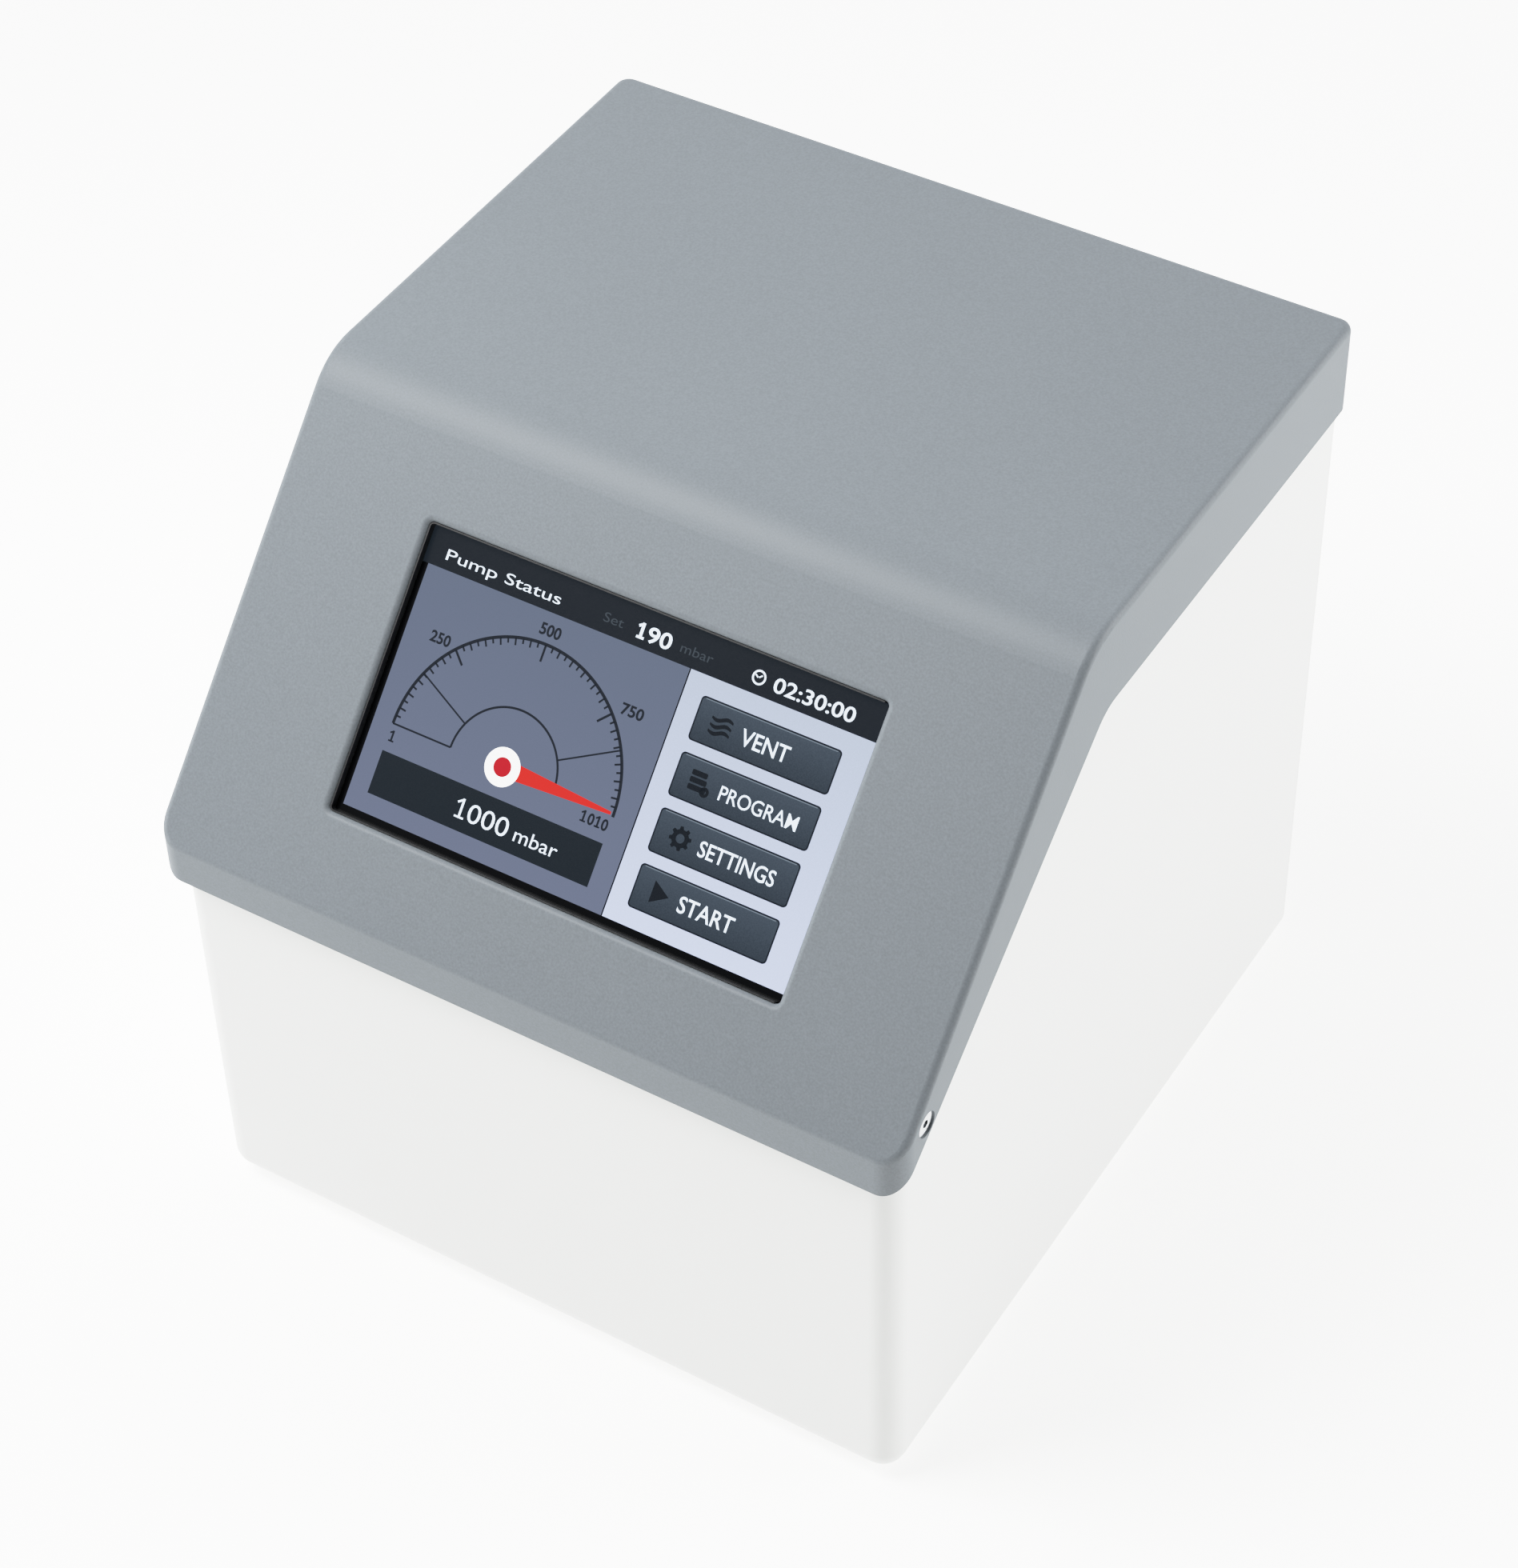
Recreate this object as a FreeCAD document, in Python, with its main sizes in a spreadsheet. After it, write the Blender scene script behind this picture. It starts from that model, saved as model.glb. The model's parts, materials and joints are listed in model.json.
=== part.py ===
import FreeCAD, Part
import Sketcher
import os
import re

# Benchtop diaphragm vacuum pump with a touch controller on its sloped cover.
# Millimetres. +X right, +Y to the rear, +Z up. The origin is the middle of the footprint, at the table.

SIZES = {
    # How far a joined shape sinks into its neighbour, and how far a cut runs past the face it opens
    "weld_sink": 1, "cut_past": 1,
    # Where the front of the cover lies, so that the whole depth is centred on the origin
    "front_y": -147.5,
    # Cover
    "cover_width": 255, "cover_depth": 267, "cover_top_z": 265, "cover_wall": 3, "skirt_front_z": 139,
    "slope_foot_z": 153, "slope_angle": 46.8, "knee_radius": 25, "skirt_knee_run": 113.5,
    "skirt_rear_z": 234, "skirt_knee_radius": 15, "front_corner_radius": 8, "rear_corner_radius": 4.5,
    "cover_edge_radius": 2.4,
    # Display window, measured along the slope from its foot
    "window_width": 153, "window_height": 89.3, "window_x": 0.5, "window_low": 28.8,
    "window_corner_radius": 1.5, "window_lip_radius": 2,
    # Body
    "body_inset": 4, "body_wall": 3, "foot_height": 3, "body_radius": 8, "inner_radius": 5,
    "rim_front_z": 147, "rim_rear_z": 246, "rim_knee_run": 112, "seam_run": 263.5, "slot_width": 3,
    "slot_length": 40, "slot_pitch": 9, "slot_count": 12, "slot_run_front": 60, "slot_run_rear": 200,
    # Rear panel
    "panel_depth": 5.5, "panel_wall": 3, "panel_rim": 4, "panel_top_z": 233.5, "panel_edge_radius": 1.5,
    "flange_width": 236, "flange_top_z": 256, "flange_low_z": 222, "flange_wall": 3.5,
    "vent_slot_height": 30, "vent_slot_count": 9, "vent_slot_z": 198,
    # Feet and outer screws
    "foot_x": 100, "foot_run_front": 26, "foot_run_rear": 240, "foot_radius": 10,
    "foot_recess_radius": 4.5, "foot_recess": 2, "foot_screw_radius": 2, "foot_screw_head_radius": 3.8,
    "foot_screw_head": 1.4, "foot_screw_length": 10, "foot_boss_height": 8, "foot_socket_floor": 0.4,
    "foot_taper": 1, "side_screw_run": 15, "side_screw_z": 158, "side_screw_radius": 2,
    "side_head_radius": 4.1, "side_head_depth": 2.2, "side_head_recess": 0.5, "side_screw_length": 12,
    "side_boss_length": 9, "side_boss_width": 8, "side_boss_height": 12, "side_boss_run": 16,
    "side_boss_z": 155, "hex_socket": 1.35, "hex_depth": 1.7, "socket_floor": 0.6, "rear_screw_x": 100,
    "rear_screw_z": 250, "rear_head_radius": 3.3, "rear_head_height": 1.8, "small_screw_radius": 1.5,
    "screw_play": 0.1, "rear_screw_length": 9, "panel_screw_x": 115.5, "panel_screw_low_z": 18,
    "panel_screw_high_z": 214, "panel_post_radius": 6, "panel_post_length": 14, "panel_pad_radius": 4.5,
    "panel_screw_length": 12,
    # Display stack, measured from the slope's outer face along its normal
    "glass_width": 163, "glass_height": 99.3, "glass_thick": 1.8, "gasket_thick": 0.6, "gasket_border": 4,
    "lcd_width": 158, "lcd_height": 95, "lcd_thick": 4, "tray_width": 186, "tray_height": 114,
    "tray_thick": 1.5, "tray_window_width": 110, "tray_window_height": 50, "post_x": 87, "post_reach": 50,
    "post_radius": 4, "post_bore_end": 1, "display_head_radius": 2.8, "display_head_height": 2,
    "solder_sink": 0.1, "board_width": 120, "board_height": 76, "board_thick": 1.6,
    "standoff_height": 5.5, "standoff_radius": 2.5, "chip_size": 16, "chip_height": 2.5,
    "plug_length": 24, "plug_height": 6,
    # Chassis
    "chassis_width": 220, "chassis_front_run": 22, "chassis_rear_run": 236, "chassis_z": 18,
    "chassis_thick": 2, "chassis_lip": 12, "chassis_screw_x": 85, "chassis_screw_front_run": 46,
    "chassis_screw_rear_run": 224, "chassis_boss_radius": 5, "chassis_screw_head_radius": 3.6,
    "chassis_screw_head_height": 2.4, "chassis_socket_floor": 0.8, "chassis_screw_length": 10,
    "mount_radius": 8, "mount_height": 12, "mount_left_x": -68, "mount_right_x": 54, "mount_reach": 32,
    "cradle_left_x": -82, "cradle_right_x": 68, "cradle_reach": 44, "cradle_thick": 3, "rib_thick": 5,
    "rib_reach": 30, "rib_left_x": -66, "rib_right_x": -8, "rib_top_z": 54,
    # Motor; its shaft runs along X
    "shaft_run": 135, "shaft_z": 80, "shaft_radius": 5, "shaft_play": 1, "shaft_left_x": -79,
    "shaft_right_x": 52, "motor_left_x": -80, "motor_right_x": 10, "motor_radius": 42, "motor_wall": 3,
    "motor_cap": 6, "stator_radius": 38.9, "stator_bore": 25, "stator_length": 44, "stator_left_x": -57,
    "winding_outer": 36, "winding_inner": 28, "winding_length": 8, "rotor_radius": 24.6,
    "bearing_radius": 11, "bearing_bore": 5.05, "bearing_width": 5, "motor_slot_count": 12,
    "motor_slot_width": 4, "motor_slot_length": 12,
    # Pump
    "case_length": 54, "case_reach": 42, "case_low_z": 42, "case_top_z": 118, "case_cavity_radius": 34,
    "case_inner_wall": 7, "case_cap": 4, "mouth_radius": 22, "throw": 3, "journal_radius": 9,
    "journal_width": 12, "weight_radius": 24, "weight_width": 6, "rod_x": 37, "rod_width": 10,
    "rod_eye_radius": 19, "rod_bearing_radius": 15, "rod_bearing_bore": 9.05, "rod_neck": 12,
    "rod_head_radius": 14, "rod_head_thick": 3, "membrane_thick": 2, "membrane_radius": 25,
    "membrane_rim_radius": 18, "clamp_thick": 2.5, "clamp_stud_radius": 2.5, "clamp_stud_length": 10,
    "clamp_socket_floor": 1, "cap_socket_floor": 1.5, "nipple_bore": 2, "head_thick": 20,
    "chamber_depth": 6.5, "head_cover_thick": 10, "port_reach": 10, "port_radius": 2.5, "flap_radius": 6,
    "flap_thick": 0.5, "flap_pocket": 1, "flap_play": 0.8, "nipple_radius": 3, "nipple_length": 10,
    "head_screw_x": 21, "head_screw_y": 35, "head_screw_radius": 2, "head_screw_head_radius": 3.5,
    "head_screw_head_height": 4, "head_screw_length": 44,
    # Pneumatics behind the panel
    "ports_z": 190, "vacuum_x": 75, "vent_x": 45, "exhaust_x": 5, "manifold_left_x": 30,
    "manifold_length": 62, "manifold_front_run": 222, "manifold_depth": 26, "manifold_height": 24,
    "manifold_bore": 3, "thread_radius": 4.8, "thread_length": 27, "thread_lead": 2, "nut_radius": 8,
    "nut_thick": 5, "nozzle_length": 21, "nozzle_radius": 5, "nozzle_bore": 3, "nozzle_groove": 0.5,
    "nozzle_groove_width": 1.2, "nozzle_groove_pitch": 4.5, "silencer_radius": 5.5, "silencer_length": 13,
    "silencer_end": 1, "sensor_radius": 8, "sensor_length": 11, "tube_radius": 4.8, "tube_bore": 3.05,
    "tube_bend": 14, "suction_x": 50, "tube_front_nipple": 8, "tube_low_z": 150, "suction_top_z": 190,
    "exhaust_top_z": 212, "suction_bend_run": 165, "exhaust_bend_run": 195, "exhaust_end_run": 241.8,
    "valve_x": 60, "valve_size": 22, "valve_base_height": 14, "valve_seat_bore": 2, "coil_radius": 11,
    "coil_height": 26, "coil_bore": 4.1, "coil_cap": 3, "plunger_radius": 4, "plunger_length": 20,
    "plunger_low": 5, "spring_radius": 2.8, "spring_wire": 0.4, "spring_pitch": 1.6, "spring_gap": 0.05,
    # Power supply board
    "supply_x": -58, "supply_run": 212, "supply_width": 96, "supply_depth": 44, "supply_z": 27,
    "core_size": 28, "core_height": 22, "cap_radius": 6, "cap_height": 20, "cap_pitch": 15,
    # Fan
    "fan_x": -68, "fan_z": 120, "fan_size": 80, "fan_depth": 25, "fan_hole_radius": 38,
    "fan_panel_radius": 37.5, "fan_hub_radius": 17, "fan_hub_length": 17, "fan_blade_radius": 37,
    "fan_blade_count": 7, "fan_blade_thick": 1.6, "fan_blade_width": 19, "fan_blade_pitch": 40,
    "fan_support_radius": 18, "fan_support_thick": 3, "fan_strut_width": 5, "fan_gap": 0.6,
    "fan_screw_reach": 35.75, "fan_screw_radius": 2, "fan_screw_length": 12, "fan_head_radius": 3.8,
    "fan_head_height": 2, "guard_wire": 0.9, "guard_bar_rise": 0.99, "guard_ring_rise": 1.08,
    "guard_ring_count": 5, "guard_ring_step": 7.5, "guard_eye_radius": 4, "guard_eye_thick": 2.2,
    # Mains inlet and fuse drawer
    "inlet_x": 80, "inlet_z": 44, "inlet_flange_width": 50, "inlet_flange_height": 46,
    "inlet_flange_thick": 3, "inlet_body_width": 28, "inlet_body_height": 42, "inlet_body_depth": 25,
    "socket_width": 24.5, "socket_height": 16.5, "socket_depth": 16, "socket_rise": 8, "fit_gap": 0.3,
    "pin_thick": 2, "pin_height": 4, "pin_length": 22, "pin_pitch": 7, "earth_rise": 4, "pin_end": 3,
    "drawer_drop": 12, "drawer_width": 23, "drawer_height": 8, "drawer_length": 20, "drawer_lip": 2,
    "drawer_floor": 1, "drawer_face_width": 25, "drawer_face_height": 10, "fuse_radius": 2.5,
    "fuse_length": 20, "fuse_pocket": 5.4, "inlet_screw_reach": 20, "inlet_screw_length": 10,
    "inlet_head_radius": 2.8,
    # Power switch
    "switch_x": 38, "switch_bezel_width": 25, "switch_bezel_height": 33, "switch_bezel_thick": 2,
    "switch_body_width": 21.8, "switch_body_height": 30, "switch_body_depth": 22,
    "switch_cavity_width": 17.6, "switch_cavity_height": 27, "switch_cavity_depth": 14,
    "rocker_width": 17, "rocker_half_height": 12, "rocker_back": -2, "rocker_valley": 5,
    "rocker_crest": 7, "rocker_taper": 1, "rocker_tilt": -8, "rocker_pivot_run": 264,
    "rocker_pin_radius": 1.5, "rocker_pin_length": 19, "rocker_pin_bore": 1.56,
    "rocker_pin_socket_length": 19.4,
    # Signal sockets
    "sockets_z": 105, "lan_x": 98, "lan_width": 16, "lan_height": 14, "lan_depth": 20, "lan_proud": 1,
    "lan_hole_width": 11.8, "lan_hole_height": 8.4, "lan_hole_depth": 13, "accessory_x": 34,
    "accessory_pitch": 28, "accessory_radius": 6, "accessory_nut_radius": 9, "accessory_nut_thick": 2.5,
    "accessory_length": 18, "accessory_recess_radius": 4.4, "accessory_recess": 3, "contact_radius": 0.5,
    "contact_reach": 2.4, "contact_length": 2.5, "contact_root": 0.5, "contact_count": 5,
}

X_AXIS = FreeCAD.Vector(1, 0, 0)
Y_AXIS = FreeCAD.Vector(0, 1, 0)
Z_AXIS = FreeCAD.Vector(0, 0, 1)
ALONG_X = FreeCAD.Rotation(Y_AXIS, 90)
ALONG_Y = FreeCAD.Rotation(X_AXIS, -90)
ALONG_Z = FreeCAD.Rotation()

SLOPE_RUN = "(cover_top_z - slope_foot_z) / tan(slope_angle)"
PANEL_RUN = "(seam_run + panel_depth)"
PANEL_INNER_RUN = "(seam_run + panel_depth - panel_wall)"
WINDOW_MIDDLE = "(window_low + window_height / 2)"
LCD_TOP = "(-cover_wall - gasket_thick - glass_thick)"
TRAY_TOP = "(-cover_wall - gasket_thick - glass_thick - lcd_thick)"
TRAY_BACK = "(-cover_wall - gasket_thick - glass_thick - lcd_thick - tray_thick)"
HEAD_LOW_Z = "(case_top_z + membrane_thick)"
HEAD_TOP_Z = "(case_top_z + membrane_thick + head_thick)"
HEAD_COVER_TOP_Z = "(case_top_z + membrane_thick + head_thick + head_cover_thick)"
MANIFOLD_TOP_Z = "(ports_z + manifold_height / 2)"
PLUNGER_LOW_Z = "(ports_z + manifold_height / 2 + plunger_low)"
PLUNGER_TOP_Z = "(ports_z + manifold_height / 2 + plunger_low + plunger_length)"
COIL_LOW_Z = "(ports_z + manifold_height / 2 + valve_base_height)"

doc = FreeCAD.newDocument("vacuum_pump")
sheet = doc.addObject("Spreadsheet::Sheet", "Dims")
for row, (alias, number) in enumerate(SIZES.items(), start=1):
    sheet.set("A%d" % row, alias)
    sheet.set("B%d" % row, str(number))
    sheet.setAlias("B%d" % row, alias)
doc.recompute()

nodes = []

# How far past a limit an edge has to lie before it counts as beyond it
MARGIN = 1.0


# ---------- Helpers ----------

def bound(formula):
    """A formula over named dimensions, with each name pointing at its cell in the sheet."""
    return re.sub(r"\b(throw|[a-z]+(?:_[a-z]+)+)\b", r"Dims.\1", formula)


def size(alias):
    """A dimension's number, for the few shapes worked out in code."""
    return float(sheet.get(alias))


def back(formula):
    """Y of a place measured backwards from the cover's front face."""
    return "front_y + " + formula


def locate(item, at):
    for axis, formula in zip("xyz", at):
        item.setExpression("Placement.Base." + axis, bound(formula))
    return item


def primitive(kind, name, sizes, at, turn=ALONG_Z):
    item = doc.addObject(kind, name)
    item.Placement = FreeCAD.Placement(FreeCAD.Vector(), turn)
    for key, formula in sizes.items():
        item.setExpression(key, bound(formula))
    return locate(item, at)


def block(name, extent, low):
    """A box from its lowest corner."""
    return primitive("Part::Box", name, dict(zip(("Length", "Width", "Height"), extent)), low)


def centred(name, extent, middle):
    """A box from its middle."""
    return block(name, extent, ["%s - (%s) / 2" % pair for pair in zip(middle, extent)])


def rod(name, radius, length, start, turn=ALONG_Z):
    return primitive("Part::Cylinder", name, {"Radius": radius, "Height": length}, start, turn)


def cone(name, low_radius, high_radius, length, start, turn=ALONG_Z):
    sizes = {"Radius1": low_radius, "Radius2": high_radius, "Height": length}
    return primitive("Part::Cone", name, sizes, start, turn)


def prism(name, radius, length, start, turn=ALONG_Z):
    """A hexagonal bar, as in a nut or a hex socket; radius is to its corners."""
    return primitive("Part::Prism", name, {"Circumradius": radius, "Height": length}, start, turn)


def fuse(name, *shapes):
    item = doc.addObject("Part::MultiFuse", name)
    item.Shapes = list(shapes)
    item.Refine = True
    return item


def group(name, *shapes):
    """Separate solids kept in one piece's file, as identical fasteners are."""
    item = doc.addObject("Part::Compound", name)
    item.Links = list(shapes)
    return item


def cut(name, base, *tools):
    item = doc.addObject("Part::Cut", name)
    item.Base = base
    item.Tool = tools[0] if len(tools) == 1 else fuse(name + "_tools", *tools)
    return item


def ring(name, outer, inner, length, start, turn=ALONG_Z):
    return cut(name, rod(name + "_outer", outer, length, start, turn),
               rod(name + "_bore", inner, length, start, turn))


def node(label, item):
    """Name a finished piece and keep it for the hand-in."""
    item.Label = label
    nodes.append(item)
    return item


def on_slope(item):
    """Carry a piece modelled flat (X, up the slope, out of the slope) onto the cover's slope."""
    item.Placement = FreeCAD.Placement(FreeCAD.Vector(), FreeCAD.Rotation(X_AXIS, size("slope_angle")))
    item.setExpression("Placement.Rotation.Angle", bound("slope_angle"))
    return locate(item, ("0", back("0"), "slope_foot_z"))


def sides(make):
    """The same piece on the right and on the left."""
    return [make(sign) for sign in ("1", "-1")]


# ---------- PartDesign helpers ----------

def new_body(name):
    return doc.addObject("PartDesign::Body", name)


def new_sketch(body, role, name):
    sketch = body.newObject("Sketcher::SketchObject", name)
    plane = next(item for item in body.Origin.OriginFeatures if item.Role == role)
    sketch.AttachmentSupport = [(plane, "")]
    sketch.MapMode = "FlatFace"
    return sketch


def add_sides(sketch, corners):
    """A closed run of straight sides; every corner is bound to the sheet."""
    count = len(corners)
    for index in range(count):
        start = FreeCAD.Vector(index, index * index, 0)
        end = FreeCAD.Vector(index + 1, (index + 1) ** 2, 0)
        sketch.addGeometry(Part.LineSegment(start, end), False)
    for index in range(count):
        sketch.addConstraint(Sketcher.Constraint("Coincident", index, 2, (index + 1) % count, 1))
    for index, place in enumerate(corners):
        for kind, formula in zip(("DistanceX", "DistanceY"), place):
            number = sketch.addConstraint(Sketcher.Constraint(kind, -1, 1, index, 1, 1.0))
            sketch.setExpression("Constraints[%d]" % number, bound(formula))


def outline(body, role, name, corners):
    """A closed straight-sided profile on one of the body's origin planes."""
    sketch = new_sketch(body, role, name)
    add_sides(sketch, corners)
    return sketch


def extrude(body, kind, name, profile, length, symmetric=True, reverse=False):
    feature = body.newObject("PartDesign::" + kind, name)
    feature.Profile = profile
    if symmetric:
        feature.SideType = "Symmetric"
    feature.Reversed = reverse
    feature.setExpression("Length", bound(length))
    doc.recompute()
    return feature


def edges_where(feature, wanted):
    """Names of the straight or curved edges whose middle and direction the test accepts."""
    names = []
    for number, edge in enumerate(feature.Shape.Edges, start=1):
        middle = edge.valueAt((edge.FirstParameter + edge.LastParameter) / 2)
        span = edge.BoundBox
        if wanted(middle, span):
            names.append("Edge%d" % number)
    return names


def round_edges(body, name, radius, wanted):
    base = body.Tip
    feature = body.newObject("PartDesign::Fillet", name)
    feature.Base = (base, edges_where(base, wanted))
    feature.setExpression("Radius", bound(radius))
    doc.recompute()
    return feature


def near(one, other, tolerance=0.05):
    return abs(one - other) < tolerance


# ---------- Cover ----------

def cover_moulding():
    body = new_body("cover_moulding")
    profile = outline(body, "YZ_Plane", "cover_side", [
        (back("0"), "skirt_front_z"), (back("0"), "slope_foot_z"), (back(SLOPE_RUN), "cover_top_z"),
        (back("cover_depth"), "cover_top_z"), (back("cover_depth"), "skirt_rear_z"),
        (back("skirt_knee_run"), "skirt_rear_z")])
    extrude(body, "Pad", "cover_block", profile, "cover_width")
    front = size("front_y")
    rear = front + size("cover_depth")
    half = size("cover_width") / 2
    top = size("cover_top_z")
    skirt = size("skirt_rear_z")

    def upright(middle, span, y):
        return near(span.XLength, 0) and near(span.YLength, 0) and near(middle.y, y)

    def across(middle, span, z):
        inside = front + MARGIN < middle.y < rear - MARGIN
        return near(span.XLength, 2 * half) and near(middle.z, z) and inside

    round_edges(body, "cover_front_corners", "front_corner_radius", lambda m, s: upright(m, s, front))
    round_edges(body, "cover_rear_corners", "rear_corner_radius", lambda m, s: upright(m, s, rear))
    round_edges(body, "cover_knee", "knee_radius", lambda m, s: across(m, s, top))
    round_edges(body, "skirt_knee", "skirt_knee_radius", lambda m, s: across(m, s, skirt))
    foot = size("slope_foot_z")
    round_edges(body, "cover_edges", "cover_edge_radius",
                lambda m, s: near(m.y, front) and near(m.z, foot) and s.XLength > half)
    wall = "cover_wall"
    inner = outline(body, "YZ_Plane", "cover_inside", [
        (back(wall), "0"),
        (back(wall), "slope_foot_z + cover_wall * tan(slope_angle) - cover_wall / cos(slope_angle)"),
        (back("(cover_top_z - slope_foot_z - cover_wall + cover_wall / cos(slope_angle))"
              " / tan(slope_angle)"), "cover_top_z - cover_wall"),
        (back("cover_depth - cover_wall"), "cover_top_z - cover_wall"),
        (back("cover_depth - cover_wall"), "0")])
    extrude(body, "Pocket", "cover_hollow", inner, "cover_width - 2 * cover_wall")
    inner_half = half - size("cover_wall")
    inner_front = front + size("cover_wall")
    round_edges(body, "inner_front_corners", "front_corner_radius - cover_wall",
                lambda m, s: near(abs(m.x), inner_half) and near(m.y, inner_front) and near(s.YLength, 0))
    inner_top = top - size("cover_wall")
    round_edges(body, "inner_knee", "knee_radius - cover_wall",
                lambda m, s: near(m.z, inner_top) and s.XLength > half and m.y < 0)
    window(body)
    return body


def window(body):
    """The display opening: square to the slope, with a rounded lip."""
    sketch = new_sketch(body, "XY_Plane", "window_outline")
    turn = FreeCAD.Rotation(X_AXIS, size("slope_angle"))
    place = FreeCAD.Vector(0, size("front_y"), size("slope_foot_z"))
    sketch.AttachmentOffset = FreeCAD.Placement(place, turn)
    sketch.setExpression("AttachmentOffset.Base.y", bound("front_y"))
    sketch.setExpression("AttachmentOffset.Base.z", bound("slope_foot_z"))
    left, right = "window_x - window_width / 2", "window_x + window_width / 2"
    low, high = "window_low", "window_low + window_height"
    add_sides(sketch, [(left, low), (right, low), (right, high), (left, high)])
    before = body.Tip.Shape.Volume
    pocket = extrude(body, "Pocket", "window_opening", sketch, "cover_wall * 3", symmetric=False)
    if pocket.Shape.Volume >= before:
        raise SystemExit("the window cuts nothing")
    normal = turn.multVec(Z_AXIS)

    def height_over_slope(point):
        return (point - place).dot(normal)

    def short_edge(middle, span):
        inside = abs(middle.x - size("window_x")) < size("window_width") / 2 + MARGIN
        depth = near(height_over_slope(middle), -size("cover_wall") / 2, 0.1)
        return inside and depth and near(span.XLength, 0)

    round_edges(body, "window_corners", "window_corner_radius", short_edge)

    def lip(middle, span):
        up = (middle - place).dot(turn.multVec(Y_AXIS))
        foot = near(height_over_slope(middle), 0) and near(up, size("window_low"))
        return foot and span.XLength > size("window_width") / 2

    round_edges(body, "window_lip", "window_lip_radius", lip)


def side_screw_hole(sign):
    """A countersunk hole through the skirt, for one side screw."""
    turn = FreeCAD.Rotation(Y_AXIS, -90 * int(sign))
    outside = "%s * cover_width / 2" % sign
    at = (outside, back("side_screw_run"), "side_screw_z")
    sunk_at = ("%s * (cover_width / 2 - side_head_recess)" % sign,) + at[1:]
    hole = rod("side_hole", "side_screw_radius + screw_play", "4 * cover_wall", at, turn)
    mouth = rod("side_mouth", "side_head_radius + screw_play", "side_head_recess", at, turn)
    sink = cone("side_sink", "side_head_radius + screw_play", "side_screw_radius + screw_play",
                "side_head_depth", sunk_at, turn)
    return fuse("side_screw_hole", hole, mouth, sink)


def rear_screw_places():
    for sign in ("1", "-1"):
        yield "%s * rear_screw_x" % sign


def tray_corner_places():
    for across in ("1", "-1"):
        for up in ("1", "-1"):
            yield ("window_x + %s * post_x" % across, "%s + %s * post_reach" % (WINDOW_MIDDLE, up))


def top_cover():
    posts = []
    for x, up in tray_corner_places():
        post = rod("tray_post", "post_radius", "-cover_wall / 2 - " + TRAY_TOP, (x, up, TRAY_TOP))
        bore = rod("tray_post_bore", "small_screw_radius", "-cover_wall - post_bore_end - " + TRAY_TOP,
                   (x, up, TRAY_TOP))
        posts.append(cut("bored_post", post, bore))
    carried = on_slope(fuse("tray_posts", *posts))
    holes = sides(side_screw_hole)
    for x in rear_screw_places():
        at = (x, back("cover_depth - 2 * cover_wall"), "rear_screw_z")
        holes.append(rod("rear_hole", "small_screw_radius + screw_play", "3 * cover_wall", at, ALONG_Y))
    whole = fuse("cover_with_posts", cover_moulding(), carried)
    node("top_cover", cut("cover", whole, *holes))


def side_screw(sign):
    turn = FreeCAD.Rotation(Y_AXIS, -90 * int(sign))
    outer = "%s * (cover_width / 2 - side_head_recess)" % sign
    y_and_z = (back("side_screw_run"), "side_screw_z")
    head = cone("side_head", "side_head_radius", "side_screw_radius", "side_head_depth",
                (outer,) + y_and_z, turn)
    shank = rod("side_shank", "side_screw_radius", "side_screw_length", (outer,) + y_and_z, turn)
    socket = prism("side_socket", "hex_socket", "hex_depth", (outer,) + y_and_z, turn)
    return cut("side_screw", fuse("side_screw_blank", head, shank), socket)


def rear_screw(x):
    """A pan head screw through the cover's rear wall into the rear panel's flange."""
    face = back("cover_depth")
    head = rod("rear_head", "rear_head_radius", "rear_head_height", (x, face, "rear_screw_z"), ALONG_Y)
    shank = rod("rear_shank", "small_screw_radius", "rear_screw_length",
                (x, back("cover_depth - rear_screw_length"), "rear_screw_z"), ALONG_Y)
    socket = prism("rear_socket", "hex_socket", "rear_head_height - socket_floor",
                   (x, back("cover_depth + socket_floor"), "rear_screw_z"), ALONG_Y)
    return cut("rear_screw", fuse("rear_screw_blank", head, shank), socket)


# ---------- Body ----------

def rounded_block(name, corners, width, radius, front_y, floor_z, rear_y):
    """A side profile drawn out to a width, its front uprights and its lower edges rounded."""
    body = new_body(name)
    profile = outline(body, "YZ_Plane", name + "_side", corners)
    extrude(body, "Pad", name + "_block", profile, width)

    def outer_edge(middle, span):
        upright = near(span.XLength, 0) and near(span.YLength, 0) and near(middle.y, front_y)
        under = near(middle.z, floor_z) and near(span.ZLength, 0) and middle.y < rear_y - MARGIN
        return upright or under

    round_edges(body, name + "_corners", radius, outer_edge)
    return body


def tub():
    """The outer form less a rounded hollow, open at the top and at the rear."""
    front = size("front_y") + size("body_inset")
    floor = size("foot_height")
    rear = size("front_y") + size("seam_run")
    outside = rounded_block("tub_outside", [
        (back("body_inset"), "foot_height"), (back("body_inset"), "rim_front_z"),
        (back("rim_knee_run"), "rim_rear_z"), (back("seam_run"), "rim_rear_z"),
        (back("seam_run"), "foot_height")],
        "cover_width - 2 * body_inset", "body_radius", front, floor, rear)
    wall = size("body_wall")
    low, high = "foot_height + body_wall", "cover_top_z"
    near_y, far_y = back("body_inset + body_wall"), back("seam_run + body_wall")
    inside = rounded_block("tub_inside", [(near_y, low), (near_y, high), (far_y, high), (far_y, low)],
                           "cover_width - 2 * body_inset - 2 * body_wall", "inner_radius",
                           front + wall, floor + wall, rear + wall)
    return cut("tub", outside, inside)


def foot_places():
    for sign in ("1", "-1"):
        for run in ("foot_run_front", "foot_run_rear"):
            yield ("%s * foot_x" % sign, back(run))


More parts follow.
